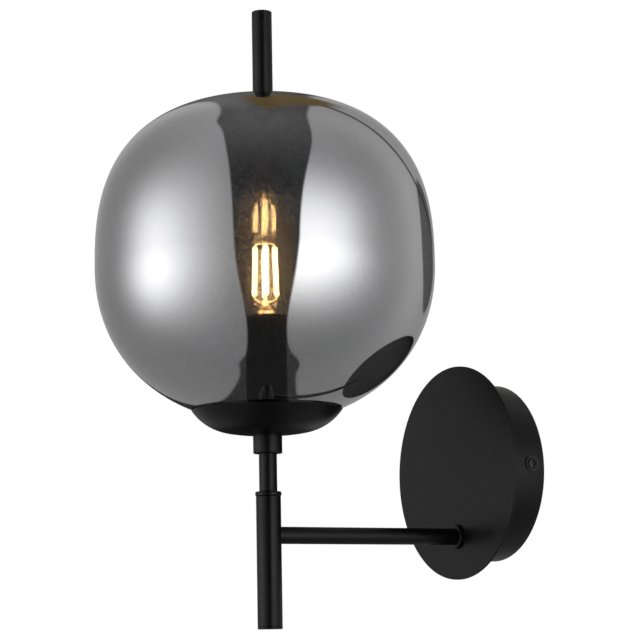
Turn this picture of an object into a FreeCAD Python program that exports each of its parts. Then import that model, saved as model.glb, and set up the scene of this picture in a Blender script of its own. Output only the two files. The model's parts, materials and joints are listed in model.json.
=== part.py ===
import FreeCAD, Part
import math
import os

# Globe wall sconce, in millimetres.
# +Z is up and the wall is the plane Y = 0. The lamp stands out towards -Y, and +X is to the right
# for someone who faces the wall. The origin is the centre of the round canopy, on the wall.
# A flat disc and a canopy stand on the wall. An arm carries an upright, whose neck bears a dish.
# A smoked glass globe sits on the dish, over a candle bulb, and a plain rod stands on its crown.

VECTOR = FreeCAD.Vector
ORIGIN = VECTOR(0, 0, 0)
X_AXIS = VECTOR(1, 0, 0)
Y_AXIS = VECTOR(0, 1, 0)
Z_AXIS = VECTOR(0, 0, 1)
FULL_TURN = 360
QUARTER_TURN = 90
SIDES = (1, -1)
HEX_SIDES = 6
SLOT_SHARE = 0.17
TOLERANCE = 1e-4

# Fits between pieces of one body, and the seat that a lift-off piece keeps.
FIT = 0.05
SEAT_GAP = 0.3
THROUGH = 1.0

# Wall side: canopy and front disc.
CANOPY_RADIUS = 54.0
CANOPY_DEPTH = 26.5
CANOPY_WALL = 1.2
CANOPY_EDGE_ROUND = 0.8
DISC_RADIUS = 65.0
DISC_THICKNESS = 1.5
DISC_EDGE_ROUND = 0.3
DISC_STUD_INSET = 10.0
DISC_STUD_RADIUS = 2.0
DISC_STUD_LENGTH = 8.0
STUD_WASHER_RADIUS = 4.5
STUD_WASHER_THICKNESS = 0.8
STUD_NUT_FLATS = 7.0
STUD_NUT_HEIGHT = 3.2

# Wall bracket: a strap with side tabs, and a tongue for the terminal block.
STRAP_THICKNESS = 1.5
STRAP_WIDTH = 18.0
TAB_SETBACK = 3.0
TAB_WIDTH = 14.0
TAB_DEPTH = 16.0
BEND_ROUND = 2.0
INNER_BEND_ROUND = 0.5
CABLE_HOLE_RADIUS = 8.0
SLOT_SPACING = 64.0
SLOT_LENGTH = 12.0
SLOT_WIDTH = 4.5
TONGUE_WIDTH = 26.0
TONGUE_TOP = 37.0
EARTH_SCREW_X = -19.0
EARTH_SCREW_RADIUS = 2.0
EARTH_SCREW_LENGTH = 6.0
EARTH_HEAD_RADIUS = 3.6
EARTH_HEAD_HEIGHT = 2.2
EARTH_WASHER_RADIUS = 4.2
EARTH_WASHER_THICKNESS = 0.8

# Side screws, which hold the canopy to the bracket's tabs.
SIDE_SCREW_DEPTH = 9.0
SIDE_SCREW_RISE = 2.0
SIDE_SCREW_RADIUS = 2.0
SIDE_SCREW_LENGTH = 8.0
SIDE_SCREW_CLEARANCE = 0.25
SIDE_HEAD_RADIUS = 4.0
SIDE_HEAD_HEIGHT = 2.4
SIDE_HEAD_ROUND = 1.0
SIDE_WASHER_RADIUS = 4.6
SIDE_WASHER_THICKNESS = 0.8
THREAD_FIT = 0.05
RECESS_LENGTH = 4.4
RECESS_WIDTH = 1.1
RECESS_DEPTH = 1.5

# Terminal block on the tongue.
BLOCK_WIDTH = 25.0
BLOCK_HEIGHT = 16.0
BLOCK_DEPTH = 13.0
BLOCK_BOTTOM = 19.0
BLOCK_ROUND = 1.0
POLE_PITCH = 8.0
POLE_COUNT = 3
INSERT_RADIUS = 2.4
INSERT_BORE = 1.4
INSERT_RECESS = 1.0
CLAMP_SCREW_RADIUS = 1.25
CLAMP_SCREW_SINK = 0.6
CLAMP_SCREW_INSET = 5.5
BLOCK_SCREW_RADIUS = 1.25
BLOCK_SCREW_HEAD_RADIUS = 2.0
BLOCK_SCREW_HEAD_HEIGHT = 1.4

# Arm, from the canopy to the upright.
ARM_DROP = 39.0
ARM_REACH = 130.0
ARM_RADIUS = 5.0
ARM_WALL = 1.0
ARM_TAIL = 6.0
ARM_RING_RADIUS = 7.5
ARM_RING_THICKNESS = 2.4
ARM_RING_ROUND = 0.8
LOCK_NUT_FLATS = 14.0
LOCK_NUT_HEIGHT = 3.0
LOCK_WASHER_RADIUS = 8.6
LOCK_WASHER_THICKNESS = 0.8
EARTH_TAG_THICKNESS = 0.8
EARTH_TAG_WIDTH = 4.0
EARTH_BARREL_RADIUS = 1.6
EARTH_BARREL_LOW = -28.0
EARTH_BARREL_LENGTH = 6.0

# Upright, with its end cap and the bush at its top, and the neck above.
UPRIGHT_RADIUS = 7.25
UPRIGHT_WALL = 1.2
UPRIGHT_BELOW_ARM = 52.5
UPRIGHT_ABOVE_ARM = 22.5
END_CAP_THICKNESS = 1.5
END_CAP_SPIGOT = 5.0
END_CAP_CHAMFER = 0.3
BUSH_RADIUS = 7.65
BUSH_HEIGHT = 2.8
BUSH_ROUND = 0.8
BUSH_SPIGOT = 5.5
NECK_RADIUS = 5.25
NECK_WALL = 1.25
NECK_VISIBLE = 22.1
COLLAR_RADIUS = 8.5
COLLAR_HEIGHT = 11.1
COLLAR_CHAMFER = 0.6
COLLAR_SOCKET = 5.1
NIPPLE_RADIUS = 5.0
NIPPLE_WALL = 1.5

# Dish: a flat land, then two tangent arcs up to the rim.
DISH_RIM_RADIUS = 44.2
DISH_DEPTH = 14.5
DISH_WALL = 1.2
DISH_LAND_RADIUS = 9.0
DISH_CROWN_ROUND = 80.0
DISH_SIDE_ROUND = 31.0

# Gallery plate above the dish floor, with the glass's gasket and spring clips.
PLATE_THICKNESS = 1.0
PLATE_EDGE_GAP = 0.4
SPACER_RADIUS = 7.0
GASKET_THICKNESS = 1.5
GASKET_INNER_RADIUS = 33.0
CLIP_COUNT = 3
CLIP_WIDTH = 8.0
CLIP_THICKNESS = 0.4
CLIP_FOOT_INNER = 20.0
CLIP_FOOT_OUTER = 28.5
CLIP_BULGE_GAP = 0.8
CLIP_BULGE_HEIGHT = 6.5
CLIP_TIP_INSET = 2.0
CLIP_HEIGHT = 11.0
RIVET_RADIUS = 1.5
RIVET_HEAD_RADIUS = 2.6
RIVET_HEAD_HEIGHT = 0.8
RIVET_CIRCLE = 24.0

# Glass globe: a squarish oval above and below its widest ring.
GLOBE_RADIUS = 100.0
GLOBE_TOP_HEIGHT = 99.8
GLOBE_BOTTOM_HEIGHT = 91.8
GLOBE_TOP_POWER = 2.6
GLOBE_BOTTOM_POWER = 2.14
GLASS_WALL = 2.2
GLOBE_MOUTH_RADIUS = 36.0
GLOBE_LIP_WIDTH = 2.0
GLOBE_CROWN_HOLE = 4.0
GLOBE_OUTLINE_STEPS = 26

# Rod on the crown, with its stud, washers and nut.
FINIAL_RADIUS = 6.0
FINIAL_LENGTH = 54.0
FINIAL_CHAMFER = 0.4
CROWN_WASHER_THICKNESS = 0.8
STUD_RADIUS = 3.0
STUD_DEPTH = 14.0
INNER_WASHER_RADIUS = 10.0
INNER_PAD_THICKNESS = 1.0
INNER_WASHER_THICKNESS = 1.0
CROWN_NUT_FLATS = 10.0
CROWN_NUT_HEIGHT = 5.0
STUD_END = 1.5

# Lampholder, inside a candle sleeve that stands on the gallery plate.
SLEEVE_RADIUS = 12.0
SLEEVE_WALL = 0.8
SLEEVE_TOP = 89.2
HOLDER_RADIUS = 10.9
HOLDER_SINK = 0.8
HOLDER_HEIGHT = 36.4
HOLDER_MOUTH_RADIUS = 8.9
HOLDER_MOUTH_DEPTH = 6.2
SHELL_RADIUS = 7.7
SHELL_HEIGHT = 14.7
CONTACT_WELL_RADIUS = 5.2
CONTACT_WELL_DEPTH = 7.0
BASE_RADIUS = 9.4
BASE_THICKNESS = 2.0
BASE_BOSS_RADIUS = 7.0
BASE_BOSS_HEIGHT = 4.0
BASE_STRAP_WIDTH = 8.0
BASE_STRAP_THICKNESS = 1.2
BASE_STRAP_LAP = 8.0
HOLDER_SCREW_RADIUS = 1.25
HOLDER_SCREW_HEAD_RADIUS = 2.2
HOLDER_SCREW_HEAD_HEIGHT = 1.4
HOLDER_SCREW_LENGTH = 4.0
POST_OFFSET = 5.5
POST_WIDTH = 4.5
POST_BREADTH = 5.0
POST_SINK = 6.0
POST_DROP = 5.0
POST_SCREW_RADIUS = 1.25
POST_SCREW_HEAD_RADIUS = 1.9
POST_SCREW_HEAD_HEIGHT = 1.6
LEG_WIDTH = 3.0
LEG_THICKNESS = 0.4

# Bulb: a clear candle with four straight filaments and a small screw cap.
BULB_CAP_DROP = 1.0
CAP_HEIGHT = 24.0
CAP_RIM_RADIUS = 8.4
CAP_RIM_HEIGHT = 1.5
CAP_FLARE_HEIGHT = 3.4
CAP_BORE = 5.6
CAP_THREAD_HEIGHT = 14.0
CAP_THREAD_LAP = 0.4
CAP_TAIL_RADIUS = 5.9
CAP_TAIL_HEIGHT = 1.0
INSULATOR_END_RADIUS = 2.6
CONTACT_RADIUS = 2.4
CONTACT_HEIGHT = 1.4
THREAD_RADIUS = 6.545
THREAD_SWING = 0.4
THREAD_PITCH = 2.822
THREAD_GAP = 0.12
THREAD_STEPS = 8
BULB_RADIUS = 17.5
BULB_WIDEST = 37.0
BULB_NECK_RADIUS = 8.2
BULB_GLASS_WALL = 0.8
BULB_TIP_SIDE_ROUND = 53.1
BULB_LOWER_SIDE_ROUND = 45.0
BULB_TIP_ROUND = 1.5
STEM_FOOT_RADIUS = 6.8
STEM_FOOT_THICKNESS = 0.8
STEM_FLARE_HEIGHT = 7.0
STEM_RADIUS = 2.2
STEM_HEIGHT = 10.5
FILAMENT_COUNT = 4
FILAMENT_TURN = 76.0
FILAMENT_RADIUS = 1.0
FILAMENT_LOW = 12.0
FILAMENT_HIGH = 43.0
FILAMENT_LOW_SPREAD = 6.6
FILAMENT_HIGH_SPREAD = 5.7
LEAD_RADIUS = 0.25
DRIVER_WIDTH = 7.0
DRIVER_THICKNESS = 1.2
DRIVER_LENGTH = 12.0

# Inner wires.
WIRE_RADIUS = 1.0
WIRE_SIDE = 1.2
WIRE_END_GAP = 0.2
WIRE_SINK = 3.0
WIRE_SAG = 1.6
WIRE_RISE = 0.6
WIRE_BACK = 8.0
WIRE_POST_DROP = 3.5
WIRE_BEND_BACK = 24.0
ARC_SHARE = 0.45

# Places that follow from the sizes above.
FRONT_Y = -(CANOPY_DEPTH + DISC_THICKNESS)
CANOPY_FLOOR_Y = -(CANOPY_DEPTH - CANOPY_WALL)
LAMP_Y = FRONT_Y - ARM_REACH
LAMP_AXIS = VECTOR(0, LAMP_Y, 0)
ARM_Z = -ARM_DROP
ARM_BORE = ARM_RADIUS - ARM_WALL
ARM_HOLE = ARM_RADIUS + FIT
UPRIGHT_BORE = UPRIGHT_RADIUS - UPRIGHT_WALL
UPRIGHT_BOTTOM = ARM_Z - UPRIGHT_BELOW_ARM
UPRIGHT_TOP = ARM_Z + UPRIGHT_ABOVE_ARM
BUSH_TOP = UPRIGHT_TOP + BUSH_HEIGHT
BUSH_BOTTOM = UPRIGHT_TOP - BUSH_SPIGOT
COLLAR_BOTTOM = BUSH_TOP + NECK_VISIBLE
COLLAR_TOP = COLLAR_BOTTOM + COLLAR_HEIGHT
NECK_TOP = COLLAR_BOTTOM + COLLAR_SOCKET
NIPPLE_HOLE = NIPPLE_RADIUS + FIT
DISH_BOTTOM = COLLAR_TOP
DISH_FLOOR = DISH_BOTTOM + DISH_WALL
DISH_RIM_Z = DISH_BOTTOM + DISH_DEPTH
DISH_NUT_BOTTOM = DISH_FLOOR + LOCK_WASHER_THICKNESS
DISH_NUT_TOP = DISH_NUT_BOTTOM + LOCK_NUT_HEIGHT
TAB_FACE_X = CANOPY_RADIUS - TAB_SETBACK
DISC_STUD_HEIGHT = CANOPY_RADIUS - DISC_STUD_INSET
HEAD_SEAT_X = CANOPY_RADIUS + SIDE_WASHER_THICKNESS


# ---------------------------------------------------------------- shapes

def unit(vector):
    """The same direction with a length of one."""
    return vector * (1.0 / vector.Length)


def rod(radius, start, end):
    """Round bar between two points."""
    return Part.makeCylinder(radius, (end - start).Length, start, end - start)


def tube(outer, inner, start, end):
    """Round tube between two points."""
    return rod(outer, start, end).cut(rod(inner, start, end))


def box(low, high):
    """Box between its lowest and highest corners."""
    size = high - low
    return Part.makeBox(size.x, size.y, size.z, low)


def flat_point(radius, height):
    """Point of a turned outline."""
    return VECTOR(radius, 0, height)


def line(start, end):
    """Straight edge."""
    return Part.LineSegment(start, end).toShape()


def arc(start, end, centre):
    """The shorter arc about a centre."""
    outward = unit(unit(start - centre) + unit(end - centre))
    middle = centre + outward * (start - centre).Length
    return Part.Arc(start, middle, end).toShape()


def turned(edges):
    """Solid of revolution about Z of a closed outline of edges."""
    return Part.Face(Part.Wire(Part.__sortEdges__(edges))).revolve(ORIGIN, Z_AXIS, FULL_TURN)


def lathe(corners):
    """Solid of revolution about Z of straight-sided (radius, height) corners."""
    points = [flat_point(radius, height) for radius, height in corners]
    return turned([line(points[n - 1], points[n]) for n in range(len(points))])


def placed(shape, place, axis=Z_AXIS):
    """Copy of a shape made about Z, stood at a place with Z along the given axis."""
    piece = shape.copy()
    turn = FreeCAD.Rotation(Z_AXIS, axis)
    piece.Placement = FreeCAD.Placement(place, turn).multiply(piece.Placement)
    return piece


def spun(shape, degrees):
    """Copy of a shape turned about Z."""
    piece = shape.copy()
    piece.rotate(ORIGIN, Z_AXIS, degrees)
    return piece


def on_lamp_axis(shape):
    """Moves a shape made about Z onto the lamp's upright axis."""
    return placed(shape, LAMP_AXIS)


def hex_nut(flats, bore, height):
    """Hexagonal nut about Z, with its foot at zero and chamfered corners on top."""
    corner_radius = flats / 2 / math.cos(math.pi / HEX_SIDES)
    corners = []
    for n in range(HEX_SIDES):
        angle = 2 * math.pi / HEX_SIDES * n
        corners.append(VECTOR(corner_radius * math.cos(angle), corner_radius * math.sin(angle), 0))
    blank = Part.Face(Part.makePolygon(corners + corners[:1])).extrude(Z_AXIS * height)
    bevel = corner_radius - flats / 2
    shoulder = height - bevel / 2
    dome = lathe([(0, 0), (corner_radius, 0), (corner_radius, shoulder), (flats / 2, height), (0, height)])
    return blank.common(dome).cut(rod(bore, ORIGIN, Z_AXIS * height))


def washer(outer, inner, thickness):
    """Flat washer about Z, with its foot at zero."""
    return tube(outer, inner, ORIGIN, Z_AXIS * thickness)


def headed_screw(radius, length, head_radius, head_height):
    """Cheese-head screw about Z: its shank runs down from zero and its slotted head stands up."""
    shank = rod(radius, Z_AXIS * -length, ORIGIN)
    head = rod(head_radius, ORIGIN, Z_AXIS * head_height)
    slot_half = head_radius * SLOT_SHARE
    slot_low = VECTOR(-head_radius, -slot_half, head_height / 2)
    slot = box(slot_low, VECTOR(head_radius, slot_half, head_height))
    return shank.fuse(head).cut(slot).removeSplitter()


def strip(path, thickness, width):
    """Bent strip in the X-Z plane: a path of (x, z) corners down its middle, of a width along Y."""
    points = [flat_point(x, z) for x, z in path]
    normals = []
    for start, end in zip(points, points[1:]):
        along = unit(end - start)
        normals.append(VECTOR(-along.z, 0, along.x))
    offsets = [normals[0]]
    for first, second in zip(normals, normals[1:]):
        middle = unit(first + second)
        offsets.append(middle * (1.0 / middle.dot(first)))
    offsets.append(normals[-1])
    one_side = [point + offset * (thickness / 2) for point, offset in zip(points, offsets)]
    other_side = [point - offset * (thickness / 2) for point, offset in zip(points, offsets)]
    corners = one_side + other_side[::-1]
    profile = Part.Face(Part.makePolygon(corners + corners[:1]))
    profile.translate(Y_AXIS * (-width / 2))
    return profile.extrude(Y_AXIS * width)


def rounded(shape, radius, chosen):
    """Rounds the edges for which chosen(edge) is true."""
    return shape.makeFillet(radius, [edge for edge in shape.Edges if chosen(edge)])


def rim_at(axis_place, axis, radius):
    """Test for a full circular edge of a radius, whose centre lies at a place along an axis."""
    def test(edge):
        curve = edge.Curve
        if not isinstance(curve, Part.Circle):
            return False
        offset = (curve.Center - axis_place).dot(axis)
        return abs(curve.Radius - radius) < TOLERANCE and abs(offset) < TOLERANCE
    return test


# ---------------------------------------------------------------- wall side

def wall_bracket():
    """Steel strap on the wall, with two bent side tabs and a tongue."""
    tab_low = SIDE_SCREW_RISE - TAB_WIDTH / 2
    tab_high = SIDE_SCREW_RISE + TAB_WIDTH / 2
    inner_x = TAB_FACE_X - STRAP_THICKNESS
    blank = box(VECTOR(-TAB_FACE_X, -TAB_DEPTH, tab_low), VECTOR(TAB_FACE_X, 0, tab_high))
    hollow = box(VECTOR(-inner_x, -TAB_DEPTH, tab_low), VECTOR(inner_x, -STRAP_THICKNESS, tab_high))
    bracket = blank.cut(hollow)
    bracket = rounded(bracket, BEND_ROUND, lambda edge: upright_edge_at(edge, TAB_FACE_X, 0))
    bend_y = -STRAP_THICKNESS
    bracket = rounded(bracket, INNER_BEND_ROUND, lambda edge: upright_edge_at(edge, inner_x, bend_y))
    half = STRAP_WIDTH / 2
    wide_x = (SLOT_SPACING + SLOT_LENGTH) / 2 + SLOT_WIDTH
    wide = box(VECTOR(-wide_x, -STRAP_THICKNESS, -half), VECTOR(wide_x, 0, half))
    tongue = box(VECTOR(-TONGUE_WIDTH / 2, -STRAP_THICKNESS, 0), VECTOR(TONGUE_WIDTH / 2, 0, TONGUE_TOP))
    bracket = bracket.fuse(wide).fuse(tongue).removeSplitter()
    holes = [rod(CABLE_HOLE_RADIUS, Y_AXIS * -STRAP_THICKNESS, ORIGIN)]
    holes += [wall_slot(side * SLOT_SPACING / 2) for side in SIDES]
    holes += [side_hole(side, SIDE_SCREW_RADIUS + THREAD_FIT) for side in SIDES]
    earth_place = X_AXIS * EARTH_SCREW_X
    holes.append(rod(EARTH_SCREW_RADIUS + FIT, earth_place - Y_AXIS * TAB_DEPTH, earth_place))
    for side in SIDES:
        place = block_screw_place(side)
        holes.append(rod(BLOCK_SCREW_RADIUS + FIT, place, place + Y_AXIS * TAB_DEPTH))
    for hole in holes:
        bracket = bracket.cut(hole)
    return bracket


def upright_edge_at(edge, x, y):
    """True for an edge along Z that stands at (+x or -x, y)."""
    ends = [vertex.Point for vertex in edge.Vertexes]
    if len(ends) != 2 or abs(ends[0].x - ends[1].x) > TOLERANCE:
        return False
    return all(abs(abs(end.x) - x) < TOLERANCE and abs(end.y - y) < TOLERANCE for end in ends)


def wall_slot(centre_x):
    """Cutter for one slot along X, through the strap."""
    radius = SLOT_WIDTH / 2
    reach = SLOT_LENGTH / 2 - radius
    cutter = box(VECTOR(centre_x - reach, -STRAP_THICKNESS, -radius), VECTOR(centre_x + reach, 0, radius))
    for side in SIDES:
        end = VECTOR(centre_x + side * reach, 0, 0)
        cutter = cutter.fuse(rod(radius, end - Y_AXIS * STRAP_THICKNESS, end))
    return cutter


def side_hole(side, radius):
    """Cutter along X for one side screw, through the tab and the canopy's wall."""
    inner = VECTOR(side * TAB_FACE_X / 2, -SIDE_SCREW_DEPTH, SIDE_SCREW_RISE)
    outer = VECTOR(side * (CANOPY_RADIUS + THROUGH), -SIDE_SCREW_DEPTH, SIDE_SCREW_RISE)
    return rod(radius, inner, outer)


def canopy_box():
    """Round steel box, open to the wall."""
    back = ORIGIN
    front = Y_AXIS * -CANOPY_DEPTH
    shell = rod(CANOPY_RADIUS, back, front)
    shell = rounded(shell, CANOPY_EDGE_ROUND, rim_at(front, Y_AXIS, CANOPY_RADIUS))
    shell = shell.cut(rod(CANOPY_RADIUS - CANOPY_WALL, back, Y_AXIS * CANOPY_FLOOR_Y))
    for side in SIDES:
        shell = shell.cut(side_hole(side, SIDE_SCREW_RADIUS + SIDE_SCREW_CLEARANCE))
    shell = shell.cut(arm_hole())
    return shell.cut(disc_stud_hole(DISC_STUD_RADIUS + FIT))


def arm_hole():
    """Cutter for the arm, through the disc and the canopy's front."""
    return rod(ARM_HOLE, VECTOR(0, FRONT_Y - THROUGH, ARM_Z), VECTOR(0, CANOPY_FLOOR_Y + THROUGH, ARM_Z))


def disc_stud_hole(radius):
    """Cutter or bar for the stud on the disc's back."""
    start = VECTOR(0, -CANOPY_DEPTH, DISC_STUD_HEIGHT)
    return rod(radius, start, start + Y_AXIS * DISC_STUD_LENGTH)


def front_disc():
    """Flat steel disc in front of the canopy, which its rim hides."""
    front = Y_AXIS * FRONT_Y
    back = Y_AXIS * -CANOPY_DEPTH
    disc = rod(DISC_RADIUS, back, front)
    disc = rounded(disc, DISC_EDGE_ROUND, rim_at(front, Y_AXIS, DISC_RADIUS))
    return disc.cut(arm_hole())


def disc_stud():
    """Threaded stud welded to the disc's back."""
    return disc_stud_hole(DISC_STUD_RADIUS)


def disc_stud_washer():
    """Washer on the disc's stud, inside the canopy."""
    ring = washer(STUD_WASHER_RADIUS, DISC_STUD_RADIUS + FIT, STUD_WASHER_THICKNESS)
    return placed(ring, VECTOR(0, CANOPY_FLOOR_Y, DISC_STUD_HEIGHT), Y_AXIS)


def disc_stud_nut():
    """Nut on the disc's stud."""
    nut = hex_nut(STUD_NUT_FLATS, DISC_STUD_RADIUS + FIT, STUD_NUT_HEIGHT)
    return placed(nut, VECTOR(0, CANOPY_FLOOR_Y + STUD_WASHER_THICKNESS, DISC_STUD_HEIGHT), Y_AXIS)


def side_screw(side):
    """Pan-head screw with a cross recess, through the canopy into a tab."""
    head = rod(SIDE_HEAD_RADIUS, ORIGIN, Z_AXIS * SIDE_HEAD_HEIGHT)
    head = rounded(head, SIDE_HEAD_ROUND, rim_at(Z_AXIS * SIDE_HEAD_HEIGHT, Z_AXIS, SIDE_HEAD_RADIUS))
    screw = head.fuse(rod(SIDE_SCREW_RADIUS, Z_AXIS * -SIDE_SCREW_LENGTH, ORIGIN))
    floor = SIDE_HEAD_HEIGHT - RECESS_DEPTH
    for long_x in (True, False):
        half_x = RECESS_LENGTH / 2 if long_x else RECESS_WIDTH / 2
        half_y = RECESS_WIDTH / 2 if long_x else RECESS_LENGTH / 2
        screw = screw.cut(box(VECTOR(-half_x, -half_y, floor), VECTOR(half_x, half_y, SIDE_HEAD_HEIGHT)))
    seat = VECTOR(side * HEAD_SEAT_X, -SIDE_SCREW_DEPTH, SIDE_SCREW_RISE)
    return placed(screw.removeSplitter(), seat, X_AXIS * side)


def side_washer(side):
    """Washer under a side screw's head."""
    ring = washer(SIDE_WASHER_RADIUS, SIDE_SCREW_RADIUS + THREAD_FIT, SIDE_WASHER_THICKNESS)
    seat = VECTOR(side * CANOPY_RADIUS, -SIDE_SCREW_DEPTH, SIDE_SCREW_RISE)
    return placed(ring, seat, X_AXIS * side)


def earth_screw():
    """Earth screw on the bracket, for the supply's earth wire."""
    screw = headed_screw(EARTH_SCREW_RADIUS, EARTH_SCREW_LENGTH, EARTH_HEAD_RADIUS, EARTH_HEAD_HEIGHT)
    tip_y = EARTH_SCREW_LENGTH - STRAP_THICKNESS
    return placed(screw, VECTOR(EARTH_SCREW_X, -(tip_y + STRAP_THICKNESS), 0), Y_AXIS * -1)


def earth_washer():
    """Cup washer under the earth screw's head."""
    ring = washer(EARTH_WASHER_RADIUS, EARTH_SCREW_RADIUS + FIT, EARTH_WASHER_THICKNESS)
    seat_y = -(EARTH_SCREW_LENGTH - EARTH_WASHER_THICKNESS)
    return placed(ring, VECTOR(EARTH_SCREW_X, seat_y, 0), Y_AXIS * -1)


# ---------------------------------------------------------------- terminal block

BLOCK_FRONT_Y = -(STRAP_THICKNESS + BLOCK_DEPTH)
POLE_Y = -(STRAP_THICKNESS + BLOCK_DEPTH / 2)
BLOCK_TOP = BLOCK_BOTTOM + BLOCK_HEIGHT
BLOCK_MIDDLE = BLOCK_BOTTOM + BLOCK_HEIGHT / 2


def pole_positions():
    """X of each pole, from left to right."""
    first = -POLE_PITCH * (POLE_COUNT - 1) / 2
    return [first + POLE_PITCH * n for n in range(POLE_COUNT)]


def block_screw_place(side):
    """Where a fixing screw's head seats on the block's front, between two poles."""
    return VECTOR(side * POLE_PITCH / 2, BLOCK_FRONT_Y, BLOCK_MIDDLE)


def clamp_screw_places():
    """Where each clamp screw's head lies, two on each pole."""
    heights = (BLOCK_BOTTOM + CLAMP_SCREW_INSET, BLOCK_TOP - CLAMP_SCREW_INSET)
    return [VECTOR(x, BLOCK_FRONT_Y + CLAMP_SCREW_SINK, z) for x in pole_positions() for z in heights]


def terminal_block():
    """Insulating body with a bore for each pole, clamp screw and fixing screw."""
    half = BLOCK_WIDTH / 2
    body = box(VECTOR(-half, BLOCK_FRONT_Y, BLOCK_BOTTOM), VECTOR(half, -STRAP_THICKNESS, BLOCK_TOP))
    body = rounded(body, BLOCK_ROUND, lambda edge: upright_edge_at(edge, half, BLOCK_FRONT_Y))
    for x in pole_positions():
        body = body.cut(rod(INSERT_RADIUS, VECTOR(x, POLE_Y, BLOCK_BOTTOM), VECTOR(x, POLE_Y, BLOCK_TOP)))
    for place in clamp_screw_places():
        mouth = VECTOR(place.x, BLOCK_FRONT_Y, place.z)
        body = body.cut(rod(CLAMP_SCREW_RADIUS + FIT, mouth, VECTOR(place.x, POLE_Y, place.z)))
    for side in SIDES:
        place = block_screw_place(side)
        body = body.cut(rod(BLOCK_SCREW_RADIUS + FIT, place, place + Y_AXIS * BLOCK_DEPTH))
    return body


def terminal_inserts():
    """Brass tubes in the block, one to a pole."""
    inserts = []
    for x in pole_positions():
        low = VECTOR(x, POLE_Y, BLOCK_BOTTOM + INSERT_RECESS)
        high = VECTOR(x, POLE_Y, BLOCK_TOP - INSERT_RECESS)
        insert = tube(INSERT_RADIUS, INSERT_BORE, low, high)
        for place in clamp_screw_places():
            if place.x == x:
                insert = insert.cut(rod(CLAMP_SCREW_RADIUS + FIT, place, VECTOR(x, POLE_Y, place.z)))
        inserts.append(insert)
    return Part.makeCompound(inserts)


def clamp_screws():
    """Headless clamp screws of the terminal block, whose tips stop at the poles' bores."""
    screws = []
    for place in clamp_screw_places():
        tip = VECTOR(place.x, POLE_Y - INSERT_BORE, place.z)
        screws.append(rod(CLAMP_SCREW_RADIUS, place, tip))
    return Part.makeCompound(screws)


def block_screws():
    """Two screws that fix the block to the tongue."""
    length = BLOCK_DEPTH + STRAP_THICKNESS
    screw = headed_screw(BLOCK_SCREW_RADIUS, length, BLOCK_SCREW_HEAD_RADIUS, BLOCK_SCREW_HEAD_HEIGHT)
    return Part.makeCompound([placed(screw, block_screw_place(side), Y_AXIS * -1) for side in SIDES])


# ---------------------------------------------------------------- arm and upright

def arm_tube():
    """Straight tube from inside the canopy to the upright's bore."""
    start = VECTOR(0, CANOPY_FLOOR_Y + ARM_TAIL, ARM_Z)
    end = VECTOR(0, LAMP_Y, ARM_Z)
    bore_low = VECTOR(0, LAMP_Y, UPRIGHT_BOTTOM)
    bore_high = VECTOR(0, LAMP_Y, UPRIGHT_TOP)
    return tube(ARM_RADIUS, ARM_BORE, start, end).cut(rod(UPRIGHT_BORE, bore_low, bore_high))


def arm_ring():
    """Rounded ring round the arm's root, on the disc."""
    ring = tube(ARM_RING_RADIUS, ARM_HOLE, ORIGIN, Z_AXIS * ARM_RING_THICKNESS)
    ring = rounded(ring, ARM_RING_ROUND, rim_at(Z_AXIS * ARM_RING_THICKNESS, Z_AXIS, ARM_RING_RADIUS))
    return placed(ring, VECTOR(0, FRONT_Y, ARM_Z), Y_AXIS * -1)


def arm_lock_washer():
    """Washer inside the canopy, round the arm's tail."""
    ring = washer(LOCK_WASHER_RADIUS, ARM_HOLE, LOCK_WASHER_THICKNESS)
    return placed(ring, VECTOR(0, CANOPY_FLOOR_Y, ARM_Z), Y_AXIS)


def earth_tag():
    """Ring tag under the arm's lock nut, with a crimp barrel for the earth wire."""
    tag_y = CANOPY_FLOOR_Y + LOCK_WASHER_THICKNESS
    ring = placed(washer(LOCK_WASHER_RADIUS, ARM_HOLE, EARTH_TAG_THICKNESS), VECTOR(0, tag_y, ARM_Z), Y_AXIS)
    half = EARTH_TAG_WIDTH / 2
    ear_low = VECTOR(-half, tag_y, ARM_Z + ARM_HOLE + half)
    ear_high = VECTOR(half, tag_y + EARTH_TAG_THICKNESS, EARTH_BARREL_LOW + EARTH_TAG_THICKNESS)
    barrel_y = tag_y + EARTH_BARREL_RADIUS
    low = VECTOR(0, barrel_y, EARTH_BARREL_LOW)
    high = low + Z_AXIS * EARTH_BARREL_LENGTH
    tag = ring.fuse(box(ear_low, ear_high)).fuse(rod(EARTH_BARREL_RADIUS, low, high))
    return tag.cut(rod(WIRE_RADIUS + FIT, low, high)).removeSplitter()


def arm_lock_nut():
    """Nut that draws the arm's ring, the disc and the canopy together."""
    nut = hex_nut(LOCK_NUT_FLATS, ARM_HOLE, LOCK_NUT_HEIGHT)
    nut_y = CANOPY_FLOOR_Y + LOCK_WASHER_THICKNESS + EARTH_TAG_THICKNESS
    return placed(nut, VECTOR(0, nut_y, ARM_Z), Y_AXIS)


def upright_tube():
    """Vertical tube with a side hole for the arm."""
    wall = tube(UPRIGHT_RADIUS, UPRIGHT_BORE, Z_AXIS * UPRIGHT_BOTTOM, Z_AXIS * UPRIGHT_TOP)
    hole = rod(ARM_HOLE, Z_AXIS * ARM_Z, VECTOR(0, UPRIGHT_RADIUS + THROUGH, ARM_Z))
    return on_lamp_axis(wall.cut(hole))


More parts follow.
